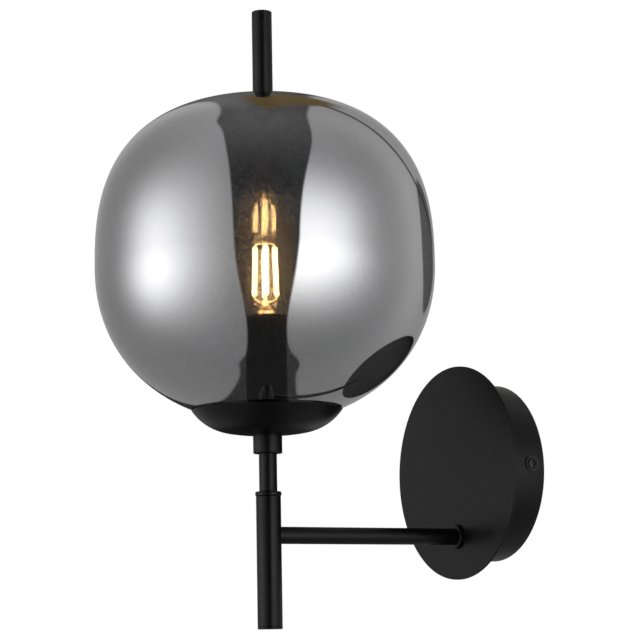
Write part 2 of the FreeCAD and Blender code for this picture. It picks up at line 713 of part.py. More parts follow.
def end_cap():
    """Flat plug in the upright's lower end."""
    low = UPRIGHT_BOTTOM - END_CAP_THICKNESS
    spigot = UPRIGHT_BORE - FIT
    outline = [
        (0, low),
        (UPRIGHT_RADIUS - END_CAP_CHAMFER, low),
        (UPRIGHT_RADIUS, low + END_CAP_CHAMFER),
        (UPRIGHT_RADIUS, UPRIGHT_BOTTOM),
        (spigot, UPRIGHT_BOTTOM),
        (spigot, UPRIGHT_BOTTOM + END_CAP_SPIGOT),
        (0, UPRIGHT_BOTTOM + END_CAP_SPIGOT),
    ]
    return on_lamp_axis(lathe(outline))


def top_bush():
    """Ring on the upright's top, with a spigot in the upright and a bore for the neck."""
    ring = tube(BUSH_RADIUS, NECK_RADIUS + FIT, Z_AXIS * UPRIGHT_TOP, Z_AXIS * BUSH_TOP)
    for height in (UPRIGHT_TOP, BUSH_TOP):
        ring = rounded(ring, BUSH_ROUND, rim_at(Z_AXIS * height, Z_AXIS, BUSH_RADIUS))
    spigot = tube(UPRIGHT_BORE - FIT, NECK_RADIUS + FIT, Z_AXIS * BUSH_BOTTOM, Z_AXIS * UPRIGHT_TOP)
    return on_lamp_axis(ring.fuse(spigot).removeSplitter())


def neck_tube():
    """Thin tube from the bush up into the collar."""
    return on_lamp_axis(tube(NECK_RADIUS, NECK_RADIUS - NECK_WALL, Z_AXIS * BUSH_BOTTOM, Z_AXIS * NECK_TOP))


def collar():
    """Collar under the dish: the neck enters from below and the nipple from above."""
    outline = [
        (NECK_RADIUS + FIT, COLLAR_BOTTOM),
        (COLLAR_RADIUS - COLLAR_CHAMFER, COLLAR_BOTTOM),
        (COLLAR_RADIUS, COLLAR_BOTTOM + COLLAR_CHAMFER),
        (COLLAR_RADIUS, COLLAR_TOP),
        (NIPPLE_HOLE, COLLAR_TOP),
        (NIPPLE_HOLE, NECK_TOP),
        (NECK_RADIUS + FIT, NECK_TOP),
    ]
    return on_lamp_axis(lathe(outline))


# ---------------------------------------------------------------- dish and gallery

def circle_crossing(centre, radius, other_centre, other_radius):
    """Crossing of two circles of an outline, on the side nearer to the axis."""
    apart = other_centre - centre
    distance = apart.Length
    along = (radius ** 2 - other_radius ** 2 + distance ** 2) / (2 * distance)
    across = math.sqrt(radius ** 2 - along ** 2)
    direction = unit(apart)
    normal = VECTOR(-direction.z, 0, direction.x)
    crossings = [centre + direction * along + normal * (side * across) for side in SIDES]
    return min(crossings, key=lambda point: point.x)


DISH_CROWN_CENTRE = flat_point(DISH_LAND_RADIUS, DISH_BOTTOM + DISH_CROWN_ROUND)
DISH_SIDE_CENTRE = circle_crossing(
    DISH_CROWN_CENTRE,
    DISH_CROWN_ROUND - DISH_SIDE_ROUND,
    flat_point(DISH_RIM_RADIUS, DISH_RIM_Z),
    DISH_SIDE_ROUND,
)


def dish_skin(inset):
    """Edges of the dish's skin from the axis to the rim, moved inwards by an inset, and its rim."""
    crown = DISH_CROWN_ROUND - inset
    centre = flat_point(0, DISH_BOTTOM + inset)
    land = flat_point(DISH_LAND_RADIUS, DISH_BOTTOM + inset)
    blend = DISH_CROWN_CENTRE + unit(DISH_SIDE_CENTRE - DISH_CROWN_CENTRE) * crown
    rim = flat_point(dish_radius(DISH_RIM_Z, inset), DISH_RIM_Z)
    base = line(centre, land)
    edges = [base, arc(land, blend, DISH_CROWN_CENTRE), arc(blend, rim, DISH_SIDE_CENTRE)]
    return edges, rim


def dish_radius(height, inset):
    """Radius of the dish's side at a height, moved inwards by an inset."""
    reach = (DISH_SIDE_ROUND - inset) ** 2 - (DISH_SIDE_CENTRE.z - height) ** 2
    return DISH_SIDE_CENTRE.x + math.sqrt(reach)


def dish():
    """Spun dish under the globe, with a hole for the nipple."""
    outer, outer_rim = dish_skin(0)
    inner, inner_rim = dish_skin(DISH_WALL)
    bottom = flat_point(0, DISH_BOTTOM)
    floor = flat_point(0, DISH_FLOOR)
    bowl = turned(outer + [line(outer_rim, inner_rim)] + inner + [line(floor, bottom)])
    return on_lamp_axis(bowl.cut(rod(NIPPLE_HOLE, bottom, floor)))


def oval_drop(radius, inset):
    """How far the globe's lower skin lies under its widest ring, at a radius."""
    share = radius / (GLOBE_RADIUS - inset)
    return (GLOBE_BOTTOM_HEIGHT - inset) * (1 - share ** GLOBE_BOTTOM_POWER) ** (1 / GLOBE_BOTTOM_POWER)


def oval_rise(radius, inset):
    """How far the globe's upper skin lies over its widest ring, at a radius."""
    share = radius / (GLOBE_RADIUS - inset)
    return (GLOBE_TOP_HEIGHT - inset) * (1 - share ** GLOBE_TOP_POWER) ** (1 / GLOBE_TOP_POWER)


LIP_RADIUS = GLOBE_MOUTH_RADIUS + GLOBE_LIP_WIDTH
DISH_SEAT_RADIUS = dish_radius(DISH_RIM_Z, DISH_WALL)
GLOBE_Z = DISH_RIM_Z + SEAT_GAP + oval_drop(DISH_SEAT_RADIUS, 0)
LIP_Z = GLOBE_Z - oval_drop(LIP_RADIUS, 0)
CROWN_Z = GLOBE_Z + GLOBE_TOP_HEIGHT
PLATE_TOP = LIP_Z - GASKET_THICKNESS
PLATE_BOTTOM = PLATE_TOP - PLATE_THICKNESS
PLATE_RADIUS = dish_radius(PLATE_BOTTOM, DISH_WALL) - PLATE_EDGE_GAP
BASE_BOSS_TOP = PLATE_TOP + BASE_BOSS_HEIGHT + BASE_THICKNESS
NIPPLE_TOP = BASE_BOSS_TOP


def threaded_nipple():
    """Hollow nipple from the collar up to the lampholder's base."""
    bore = NIPPLE_RADIUS - NIPPLE_WALL
    return on_lamp_axis(tube(NIPPLE_RADIUS, bore, Z_AXIS * NECK_TOP, Z_AXIS * NIPPLE_TOP))


def dish_lock_washer():
    """Washer on the dish's floor."""
    ring = washer(DISH_LAND_RADIUS - FIT, NIPPLE_HOLE, LOCK_WASHER_THICKNESS)
    return placed(ring, LAMP_AXIS + Z_AXIS * DISH_FLOOR)


def dish_lock_nut():
    """Nut that clamps the dish to the collar."""
    nut = hex_nut(LOCK_NUT_FLATS, NIPPLE_HOLE, LOCK_NUT_HEIGHT)
    return placed(nut, LAMP_AXIS + Z_AXIS * DISH_NUT_BOTTOM)


def gallery_spacer():
    """Tube between the dish's nut and the gallery plate."""
    return on_lamp_axis(tube(SPACER_RADIUS, NIPPLE_HOLE, Z_AXIS * DISH_NUT_TOP, Z_AXIS * PLATE_BOTTOM))


def rivet_holes(radius):
    """Bars at the clips' rivets, through the plate and the clips' feet."""
    low = VECTOR(RIVET_CIRCLE, 0, PLATE_BOTTOM)
    high = VECTOR(RIVET_CIRCLE, 0, PLATE_TOP + CLIP_THICKNESS)
    return [spun(rod(radius, low, high), clip_turn(n)) for n in range(CLIP_COUNT)]


def clip_turn(number):
    """Turn of one clip about the lamp's axis, in degrees."""
    return QUARTER_TURN + FULL_TURN / CLIP_COUNT * number


def gallery_plate():
    """Flat plate under the glass's mouth."""
    plate = tube(PLATE_RADIUS, NIPPLE_HOLE, Z_AXIS * PLATE_BOTTOM, Z_AXIS * PLATE_TOP)
    for hole in rivet_holes(RIVET_RADIUS):
        plate = plate.cut(hole)
    return on_lamp_axis(plate)


def glass_gasket():
    """Soft ring between the plate and the glass's ground lip."""
    return on_lamp_axis(tube(PLATE_RADIUS, GASKET_INNER_RADIUS, Z_AXIS * PLATE_TOP, Z_AXIS * LIP_Z))


def spring_clips():
    """Three bent leaf springs that centre the glass's mouth."""
    middle = PLATE_TOP + CLIP_THICKNESS / 2
    bulge = GLOBE_MOUTH_RADIUS - CLIP_BULGE_GAP
    path = [
        (CLIP_FOOT_INNER, middle),
        (CLIP_FOOT_OUTER, middle),
        (bulge, PLATE_TOP + CLIP_BULGE_HEIGHT),
        (bulge - CLIP_TIP_INSET, PLATE_TOP + CLIP_HEIGHT),
    ]
    clip = strip(path, CLIP_THICKNESS, CLIP_WIDTH)
    clips = [spun(clip, clip_turn(n)) for n in range(CLIP_COUNT)]
    clips = [leaf.cut(hole) for leaf, hole in zip(clips, rivet_holes(RIVET_RADIUS))]
    return on_lamp_axis(Part.makeCompound(clips))


def clip_rivets():
    """Rivets that hold the spring clips to the plate."""
    foot = PLATE_BOTTOM
    top = PLATE_TOP + CLIP_THICKNESS
    outline = [
        (0, foot - RIVET_HEAD_HEIGHT),
        (RIVET_HEAD_RADIUS, foot - RIVET_HEAD_HEIGHT),
        (RIVET_HEAD_RADIUS, foot),
        (RIVET_RADIUS, foot),
        (RIVET_RADIUS, top),
        (RIVET_HEAD_RADIUS, top),
        (RIVET_HEAD_RADIUS, top + RIVET_HEAD_HEIGHT),
        (0, top + RIVET_HEAD_HEIGHT),
    ]
    rivet = placed(lathe(outline), X_AXIS * RIVET_CIRCLE)
    return on_lamp_axis(Part.makeCompound([spun(rivet, clip_turn(n)) for n in range(CLIP_COUNT)]))


# ---------------------------------------------------------------- globe and its crown

def oval_point(angle, inset):
    """Point of the globe's skin at an angle above its widest ring, moved inwards by an inset."""
    rising = angle > 0
    half_height = (GLOBE_TOP_HEIGHT if rising else GLOBE_BOTTOM_HEIGHT) - inset
    power = GLOBE_TOP_POWER if rising else GLOBE_BOTTOM_POWER
    across = (math.cos(angle) / (GLOBE_RADIUS - inset)) ** power
    along = (abs(math.sin(angle)) / half_height) ** power
    reach = (across + along) ** (-1 / power)
    return flat_point(reach * math.cos(angle), GLOBE_Z + reach * math.sin(angle))


def globe_skin(low_radius, inset):
    """Smooth edge of the globe's skin, from a radius at its mouth to its crown hole."""
    low = math.atan2(-oval_drop(low_radius, inset), low_radius)
    high = math.atan2(oval_rise(GLOBE_CROWN_HOLE, inset), GLOBE_CROWN_HOLE)
    steps = range(GLOBE_OUTLINE_STEPS + 1)
    points = [oval_point(low + (high - low) * n / GLOBE_OUTLINE_STEPS, inset) for n in steps]
    curve = Part.BSplineCurve()
    curve.interpolate(points)
    return curve.toShape(), points[0], points[-1]


def glass_globe():
    """Blown glass shell, with a ground lip round its mouth and a small hole in its crown."""
    outer, outer_low, outer_high = globe_skin(LIP_RADIUS, 0)
    inner, inner_low, inner_high = globe_skin(GLOBE_MOUTH_RADIUS, GLASS_WALL)
    lip_corner = flat_point(GLOBE_MOUTH_RADIUS, outer_low.z)
    crown = line(outer_high, inner_high)
    lip = [line(outer_low, lip_corner), line(lip_corner, inner_low)]
    return on_lamp_axis(turned([outer, crown, inner] + lip))


def crown_washer():
    """Soft washer between the crown and the rod."""
    ring = washer(FINIAL_RADIUS, STUD_RADIUS + FIT, CROWN_WASHER_THICKNESS)
    return placed(ring, LAMP_AXIS + Z_AXIS * CROWN_Z)


def finial_rod():
    """Plain rod on the crown, tapped from below."""
    low = CROWN_Z + CROWN_WASHER_THICKNESS
    high = low + FINIAL_LENGTH
    bore = STUD_RADIUS + FIT
    outline = [
        (bore, low),
        (FINIAL_RADIUS - FINIAL_CHAMFER, low),
        (FINIAL_RADIUS, low + FINIAL_CHAMFER),
        (FINIAL_RADIUS, high - FINIAL_CHAMFER),
        (FINIAL_RADIUS - FINIAL_CHAMFER, high),
        (0, high),
        (0, low + STUD_DEPTH),
        (bore, low + STUD_DEPTH),
    ]
    return on_lamp_axis(lathe(outline))


INNER_CROWN_Z = GLOBE_Z + oval_rise(INNER_WASHER_RADIUS, GLASS_WALL)
INNER_WASHER_TOP = INNER_CROWN_Z - INNER_PAD_THICKNESS
CROWN_NUT_TOP = INNER_WASHER_TOP - INNER_WASHER_THICKNESS
CROWN_NUT_BOTTOM = CROWN_NUT_TOP - CROWN_NUT_HEIGHT


def inner_pad():
    """Soft washer under the crown, inside the glass."""
    ring = washer(INNER_WASHER_RADIUS, STUD_RADIUS + FIT, INNER_PAD_THICKNESS)
    return placed(ring, LAMP_AXIS + Z_AXIS * INNER_WASHER_TOP)


def inner_washer():
    """Metal washer under the soft one."""
    ring = washer(INNER_WASHER_RADIUS, STUD_RADIUS + FIT, INNER_WASHER_THICKNESS)
    return placed(ring, LAMP_AXIS + Z_AXIS * CROWN_NUT_TOP)


def crown_nut():
    """Nut inside the globe, which holds the rod."""
    nut = hex_nut(CROWN_NUT_FLATS, STUD_RADIUS + FIT, CROWN_NUT_HEIGHT)
    return placed(nut, LAMP_AXIS + Z_AXIS * CROWN_NUT_TOP, Z_AXIS * -1)


def crown_stud():
    """Threaded stud through the crown, from the rod to the nut."""
    low = CROWN_NUT_BOTTOM - STUD_END
    high = CROWN_Z + CROWN_WASHER_THICKNESS + STUD_DEPTH - FINIAL_CHAMFER
    return on_lamp_axis(rod(STUD_RADIUS, Z_AXIS * low, Z_AXIS * high))


# ---------------------------------------------------------------- lampholder

SLEEVE_BORE = SLEEVE_RADIUS - SLEEVE_WALL
HOLDER_TOP = SLEEVE_TOP - HOLDER_SINK
HOLDER_BOTTOM = HOLDER_TOP - HOLDER_HEIGHT
SHELL_TOP = HOLDER_TOP - HOLDER_MOUTH_DEPTH
SHELL_BOTTOM = SHELL_TOP - SHELL_HEIGHT
WELL_FLOOR = SHELL_BOTTOM - CONTACT_WELL_DEPTH
POST_TOP = HOLDER_BOTTOM + POST_SINK
POST_BOTTOM = HOLDER_BOTTOM - POST_DROP
STRAP_OUTER_Y = BASE_RADIUS
STRAP_INNER_Y = BASE_RADIUS - BASE_STRAP_THICKNESS
STRAP_TOP = HOLDER_BOTTOM + BASE_STRAP_LAP
HOLDER_SCREW_Z = HOLDER_BOTTOM + BASE_STRAP_LAP / 2
CAP_RIM_Z = SLEEVE_TOP - BULB_CAP_DROP
BULB_CONTACT_Z = CAP_RIM_Z - CAP_HEIGHT


def candle_sleeve():
    """Thin tube that hides the lampholder, standing on the gallery plate."""
    return on_lamp_axis(tube(SLEEVE_RADIUS, SLEEVE_BORE, Z_AXIS * PLATE_TOP, Z_AXIS * SLEEVE_TOP))


def lampholder_base():
    """Base that screws onto the nipple, with a strap up to the holder's body."""
    base = rod(BASE_RADIUS, Z_AXIS * PLATE_TOP, Z_AXIS * (PLATE_TOP + BASE_THICKNESS))
    base = base.fuse(rod(BASE_BOSS_RADIUS, Z_AXIS * PLATE_TOP, Z_AXIS * BASE_BOSS_TOP))
    half = BASE_STRAP_WIDTH / 2
    strap = box(VECTOR(-half, STRAP_INNER_Y, PLATE_TOP), VECTOR(half, STRAP_OUTER_Y, STRAP_TOP))
    base = base.fuse(strap).cut(rod(NIPPLE_HOLE, Z_AXIS * PLATE_TOP, Z_AXIS * BASE_BOSS_TOP))
    return on_lamp_axis(base.cut(holder_screw_bar(HOLDER_SCREW_RADIUS + FIT)).removeSplitter())


def holder_screw_bar(radius):
    """Bar along Y where the strap's screw runs."""
    outer = VECTOR(0, STRAP_OUTER_Y, HOLDER_SCREW_Z)
    return rod(radius, outer, outer - Y_AXIS * HOLDER_SCREW_LENGTH)


def lampholder_screw():
    """Screw through the strap into the holder's body."""
    shank = holder_screw_bar(HOLDER_SCREW_RADIUS)
    seat = VECTOR(0, STRAP_OUTER_Y, HOLDER_SCREW_Z)
    head = rod(HOLDER_SCREW_HEAD_RADIUS, seat, seat + Y_AXIS * HOLDER_SCREW_HEAD_HEIGHT)
    return on_lamp_axis(shank.fuse(head).removeSplitter())


def post_block(side, play):
    """Block of one terminal post, widened all round by a play."""
    middle = side * POST_OFFSET
    half_x = POST_WIDTH / 2 + play
    half_y = POST_BREADTH / 2 + play
    return box(VECTOR(middle - half_x, -half_y, POST_BOTTOM), VECTOR(middle + half_x, half_y, POST_TOP))


def contact_leg(play):
    """Leg from the centre contact down to the right post."""
    middle = CONTACT_WELL_RADIUS - LEG_THICKNESS
    low = VECTOR(middle - LEG_THICKNESS / 2 - play, -LEG_WIDTH / 2 - play, POST_TOP)
    high = VECTOR(middle + LEG_THICKNESS / 2 + play, LEG_WIDTH / 2 + play, WELL_FLOOR + LEG_THICKNESS)
    return box(low, high)


def shell_leg(play):
    """Leg from the threaded shell down to the left post."""
    middle = -(SHELL_RADIUS - LEG_THICKNESS)
    low = VECTOR(middle - LEG_THICKNESS / 2 - play, -LEG_WIDTH / 2 - play, POST_TOP)
    high = VECTOR(middle + LEG_THICKNESS / 2 + play, LEG_WIDTH / 2 + play, SHELL_BOTTOM)
    return box(low, high)


def lampholder_body():
    """Moulded body with a mouth for the bulb's cap, a seat for the shell and a contact well."""
    body = rod(HOLDER_RADIUS, Z_AXIS * HOLDER_BOTTOM, Z_AXIS * HOLDER_TOP)
    body = body.cut(rod(HOLDER_MOUTH_RADIUS, Z_AXIS * SHELL_TOP, Z_AXIS * HOLDER_TOP))
    body = body.cut(rod(SHELL_RADIUS, Z_AXIS * SHELL_BOTTOM, Z_AXIS * SHELL_TOP))
    body = body.cut(rod(CONTACT_WELL_RADIUS, Z_AXIS * WELL_FLOOR, Z_AXIS * SHELL_BOTTOM))
    half = BASE_STRAP_WIDTH / 2 + FIT
    pocket_low = VECTOR(-half, STRAP_INNER_Y - FIT, HOLDER_BOTTOM)
    pocket_high = VECTOR(half, HOLDER_RADIUS, STRAP_TOP + FIT)
    body = body.cut(box(pocket_low, pocket_high))
    body = body.cut(holder_screw_bar(HOLDER_SCREW_RADIUS + FIT))
    for side in SIDES:
        body = body.cut(post_block(side, FIT))
    return on_lamp_axis(body.cut(contact_leg(FIT)).cut(shell_leg(FIT)))


def screw_core(radius, low, high):
    """Bar with a rounded right-hand thread: its centre swings round the axis once a pitch."""
    steps = math.ceil((high - low) / THREAD_PITCH * THREAD_STEPS)
    rings = []
    for n in range(steps + 1):
        height = low + (high - low) * n / steps
        angle = 2 * math.pi * (height - SHELL_BOTTOM) / THREAD_PITCH
        centre = VECTOR(THREAD_SWING * math.cos(angle), THREAD_SWING * math.sin(angle), height)
        rings.append(Part.Wire(Part.makeCircle(radius, centre)))
    return Part.makeLoft(rings, True, True)


def threaded_shell():
    """Metal shell whose thread takes the bulb's cap, with its leg."""
    blank = rod(SHELL_RADIUS, Z_AXIS * SHELL_BOTTOM, Z_AXIS * SHELL_TOP)
    bore = screw_core(THREAD_RADIUS + THREAD_GAP, SHELL_BOTTOM, SHELL_TOP)
    return on_lamp_axis(blank.cut(bore).fuse(shell_leg(0)).removeSplitter())


def centre_contact():
    """Bent leaf under the bulb's contact, with its leg."""
    foot = WELL_FLOOR + LEG_THICKNESS / 2
    reach = CONTACT_WELL_RADIUS - LEG_THICKNESS / 2
    top = BULB_CONTACT_Z - SEAT_GAP - LEG_THICKNESS / 2
    path = [(reach, foot), (-reach / 2, foot), (-reach / 2 - LEG_THICKNESS, foot + LEG_THICKNESS * 2)]
    path += [(-CONTACT_RADIUS / 2, top), (CONTACT_RADIUS, top)]
    leaf = strip(path, LEG_THICKNESS, LEG_WIDTH)
    return on_lamp_axis(leaf.fuse(contact_leg(0)).removeSplitter())


def terminal_posts():
    """Two brass posts under the holder's body, bored for the wires' screws."""
    posts = []
    for side in SIDES:
        posts.append(post_block(side, 0).cut(post_screw_bar(side, POST_SCREW_RADIUS + FIT)))
    return on_lamp_axis(Part.makeCompound(posts))


def post_screw_bar(side, radius):
    """Bar along X where a post's screw runs."""
    outer = VECTOR(side * (POST_OFFSET + POST_WIDTH / 2), 0, POST_BOTTOM + POST_DROP / 2)
    return rod(radius, outer, outer - X_AXIS * (side * POST_WIDTH / 2))


def post_screws():
    """Screws of the two terminal posts."""
    screws = []
    for side in SIDES:
        seat = VECTOR(side * (POST_OFFSET + POST_WIDTH / 2), 0, POST_BOTTOM + POST_DROP / 2)
        head = rod(POST_SCREW_HEAD_RADIUS, seat, seat + X_AXIS * (side * POST_SCREW_HEAD_HEIGHT))
        screws.append(post_screw_bar(side, POST_SCREW_RADIUS).fuse(head).removeSplitter())
    return on_lamp_axis(Part.makeCompound(screws))


# ---------------------------------------------------------------- bulb

CAP_THREAD_TOP = CAP_RIM_Z - CAP_RIM_HEIGHT - CAP_FLARE_HEIGHT
CAP_THREAD_BOTTOM = CAP_THREAD_TOP - CAP_THREAD_HEIGHT
CAP_BOTTOM = CAP_THREAD_BOTTOM - CAP_TAIL_HEIGHT
THREAD_INNER = THREAD_RADIUS - THREAD_SWING


def bulb_cap():
    """Thin metal screw cap: a rim, a flare, a rounded thread and a short tail."""
    outline = [
        (0, CAP_BOTTOM),
        (CAP_TAIL_RADIUS, CAP_BOTTOM),
        (CAP_TAIL_RADIUS, CAP_THREAD_BOTTOM + CAP_THREAD_LAP),
        (0, CAP_THREAD_BOTTOM + CAP_THREAD_LAP),
    ]
    tail = lathe(outline)
    flare = lathe([
        (0, CAP_THREAD_TOP - CAP_THREAD_LAP),
        (THREAD_INNER, CAP_THREAD_TOP - CAP_THREAD_LAP),
        (CAP_RIM_RADIUS, CAP_RIM_Z - CAP_RIM_HEIGHT),
        (CAP_RIM_RADIUS, CAP_RIM_Z),
        (0, CAP_RIM_Z),
    ])
    core = screw_core(THREAD_RADIUS, CAP_THREAD_BOTTOM, CAP_THREAD_TOP)
    cap = core.fuse(tail).fuse(flare)
    return on_lamp_axis(cap.cut(rod(CAP_BORE, Z_AXIS * CAP_BOTTOM, Z_AXIS * CAP_RIM_Z)))


def bulb_insulator():
    """Dark cone that closes the cap's end."""
    low = BULB_CONTACT_Z + CONTACT_HEIGHT
    outline = [
        (0, low),
        (INSULATOR_END_RADIUS, low),
        (CAP_TAIL_RADIUS, CAP_BOTTOM),
        (0, CAP_BOTTOM),
    ]
    return on_lamp_axis(lathe(outline))


def bulb_contact():
    """Solder button at the cap's end."""
    low = BULB_CONTACT_Z
    bevel = CONTACT_HEIGHT / 2
    outline = [
        (0, low),
        (CONTACT_RADIUS - bevel, low),
        (CONTACT_RADIUS, low + bevel),
        (CONTACT_RADIUS, low + CONTACT_HEIGHT),
        (0, low + CONTACT_HEIGHT),
    ]
    return on_lamp_axis(lathe(outline))


def tangent_point(centre, radius, outside):
    """Where a line from an outside point touches a circle, on the side away from the axis."""
    toward = outside - centre
    distance = toward.Length
    along = radius ** 2 / distance
    across = radius * math.sqrt(1 - (radius / distance) ** 2)
    direction = unit(toward)
    normal = VECTOR(-direction.z, 0, direction.x)
    points = [centre + direction * along + normal * (side * across) for side in SIDES]
    return max(points, key=lambda point: point.x)


def bulb_solid(inset):
    """Candle outline turned solid, moved inwards by an inset: neck, belly, side and rounded tip."""
    widest_z = CAP_RIM_Z + BULB_WIDEST
    neck = flat_point(BULB_NECK_RADIUS - inset, CAP_RIM_Z)
    lower_centre = flat_point(BULB_RADIUS - BULB_LOWER_SIDE_ROUND, widest_z)
    upper_centre = flat_point(BULB_RADIUS - BULB_TIP_SIDE_ROUND, widest_z)
    tip_reach = math.sqrt((BULB_TIP_SIDE_ROUND - BULB_TIP_ROUND) ** 2 - upper_centre.x ** 2)
    tip_centre = flat_point(0, widest_z + tip_reach)
    belly = tangent_point(lower_centre, BULB_LOWER_SIDE_ROUND - inset, neck)
    widest = flat_point(BULB_RADIUS - inset, widest_z)
    shoulder = upper_centre + unit(tip_centre - upper_centre) * (BULB_TIP_SIDE_ROUND - inset)
    tip = tip_centre + Z_AXIS * (BULB_TIP_ROUND - inset)
    foot = flat_point(0, CAP_RIM_Z)
    edges = [
        line(foot, neck),
        line(neck, belly),
        arc(belly, widest, lower_centre),
        arc(widest, shoulder, upper_centre),
        arc(shoulder, tip, tip_centre),
        line(tip, foot),
    ]
    return turned(edges)


def bulb_envelope():
    """Clear glass of the bulb, open at its neck."""
    return on_lamp_axis(bulb_solid(0).cut(bulb_solid(BULB_GLASS_WALL)))


def bulb_stem():
    """Glass stem that closes the neck and carries the leads."""
    foot = CAP_RIM_Z
    outline = [
        (0, foot),
        (STEM_FOOT_RADIUS, foot),
        (STEM_FOOT_RADIUS, foot + STEM_FOOT_THICKNESS),
        (STEM_RADIUS, foot + STEM_FLARE_HEIGHT),
        (STEM_RADIUS, foot + STEM_HEIGHT),
        (0, foot + STEM_HEIGHT),
    ]
    return on_lamp_axis(lathe(outline))


def filament_ends(number):
    """Lower and upper ends of one filament, about the lamp's axis."""
    angle = math.radians(FILAMENT_TURN + FULL_TURN / FILAMENT_COUNT * number)
    outward = VECTOR(math.cos(angle), math.sin(angle), 0)
    low = outward * FILAMENT_LOW_SPREAD + Z_AXIS * (CAP_RIM_Z + FILAMENT_LOW)
    high = outward * FILAMENT_HIGH_SPREAD + Z_AXIS * (CAP_RIM_Z + FILAMENT_HIGH)
    return low, high


def bulb_filaments():
    """Straight glowing filaments in a ring."""
    bars = [rod(FILAMENT_RADIUS, *filament_ends(n)) for n in range(FILAMENT_COUNT)]
    return on_lamp_axis(Part.makeCompound(bars))


def bulb_leads():
    """Thin leads: a mast from the stem with spokes to the upper ends, and one to each lower end."""
    stem_top = Z_AXIS * (CAP_RIM_Z + STEM_HEIGHT)
    crown = Z_AXIS * (CAP_RIM_Z + FILAMENT_HIGH + FILAMENT_RADIUS)
    leads = rod(LEAD_RADIUS, stem_top, crown)
    for n in range(FILAMENT_COUNT):
        low, high = filament_ends(n)
        upper = high + Z_AXIS * FILAMENT_RADIUS
        end = high + Z_AXIS * LEAD_RADIUS / 2
        leads = leads.fuse(rod(LEAD_RADIUS, crown, upper)).fuse(rod(LEAD_RADIUS, end, upper))
    lower_leads = []
    for n in range(FILAMENT_COUNT):
        low, high = filament_ends(n)
        foot = stem_top + unit(VECTOR(low.x, low.y, 0)) * (STEM_RADIUS - LEAD_RADIUS)
        play = Z_AXIS * LEAD_RADIUS
        lower_leads.append(rod(LEAD_RADIUS, foot + play, low - play))
    return on_lamp_axis(Part.makeCompound([leads] + lower_leads))


def bulb_driver():
    """Small circuit board inside the cap."""
    low = VECTOR(-DRIVER_WIDTH / 2, -DRIVER_THICKNESS / 2, CAP_BOTTOM)
    return on_lamp_axis(box(low, low + VECTOR(DRIVER_WIDTH, DRIVER_THICKNESS, DRIVER_LENGTH)))


# ---------------------------------------------------------------- inner wires

def routed_wire(points):
    """Round wire along straight runs joined by arcs as large as the runs allow."""
    edges = []
    place = points[0]
    radii = []
    for before, corner, after in zip(points, points[1:], points[2:]):
        incoming = unit(corner - before)
        outgoing = unit(after - corner)
        half_turn = incoming.getAngle(outgoing) / 2
        setback = ARC_SHARE * min((corner - before).Length, (after - corner).Length)
        radius = setback / math.tan(half_turn)
        start = corner - incoming * setback
        end = corner + outgoing * setback
        inward = unit(outgoing - incoming)
        middle = corner + inward * (radius / math.cos(half_turn) - radius)
        edges.append(line(place, start))
        edges.append(Part.Arc(start, middle, end).toShape())
        place = end
        radii.append(round(radius, 1))
    edges.append(line(place, points[-1]))
    path = Part.Wire(edges)
    section = Part.Wire(Part.makeCircle(WIRE_RADIUS, points[0], points[1] - points[0]))
    wire = path.makePipeShell([section], True, False)
    share = wire.Volume / (math.pi * WIRE_RADIUS ** 2 * path.Length)
    print("wire length", round(path.Length, 1), "radii", radii, "volume share", round(share, 4))
    return wire


def lamp_wire(side):
    """Live or neutral wire, from the terminal block through the arm, upright and neck to its post."""
    pole_x = side * POLE_PITCH
    post_x = side * POST_OFFSET
    run_x = side * WIRE_SIDE
    block_z = BLOCK_BOTTOM + WIRE_SINK
    low_z = ARM_Z - WIRE_SAG
    high_z = ARM_Z + WIRE_RISE
    bend_z = POST_BOTTOM - WIRE_POST_DROP
    return routed_wire([
        VECTOR(pole_x, -WIRE_BACK, block_z),
        VECTOR(pole_x - side * WIRE_RISE, -WIRE_BACK - WIRE_RISE, block_z / 8),
        VECTOR(run_x * 2, -WIRE_BACK - WIRE_SAG, (ARM_Z + WIRE_SINK) / 2),
        VECTOR(run_x, -WIRE_BACK, high_z),
        VECTOR(run_x, FRONT_Y - WIRE_BEND_BACK, low_z),
        VECTOR(run_x, LAMP_Y + ARM_REACH * 0.4, high_z),
        VECTOR(run_x, LAMP_Y - WIRE_SAG * 2, low_z),
        VECTOR(run_x, LAMP_Y - WIRE_RISE, UPRIGHT_TOP + WIRE_SAG),
        VECTOR(run_x, LAMP_Y, COLLAR_BOTTOM + WIRE_RISE),
        VECTOR(run_x, LAMP_Y - WIRE_END_GAP, NIPPLE_TOP - WIRE_RISE),
        VECTOR(post_x - side * WIRE_RISE, LAMP_Y, bend_z),
        VECTOR(post_x, LAMP_Y, POST_BOTTOM - WIRE_END_GAP),
    ])


def earth_wire():
    """Earth wire, from the terminal block to the tag on the arm's root."""
    barrel_y = CANOPY_FLOOR_Y + LOCK_WASHER_THICKNESS + EARTH_BARREL_RADIUS
    return routed_wire([
        VECTOR(0, -8.0, 22.0),
        VECTOR(0, -9.0, 5.0),
        VECTOR(0, -15.5, -9.0),
        VECTOR(0, barrel_y, -19.0),
        VECTOR(0, barrel_y, -26.0),
    ])


# ---------------------------------------------------------------- nodes

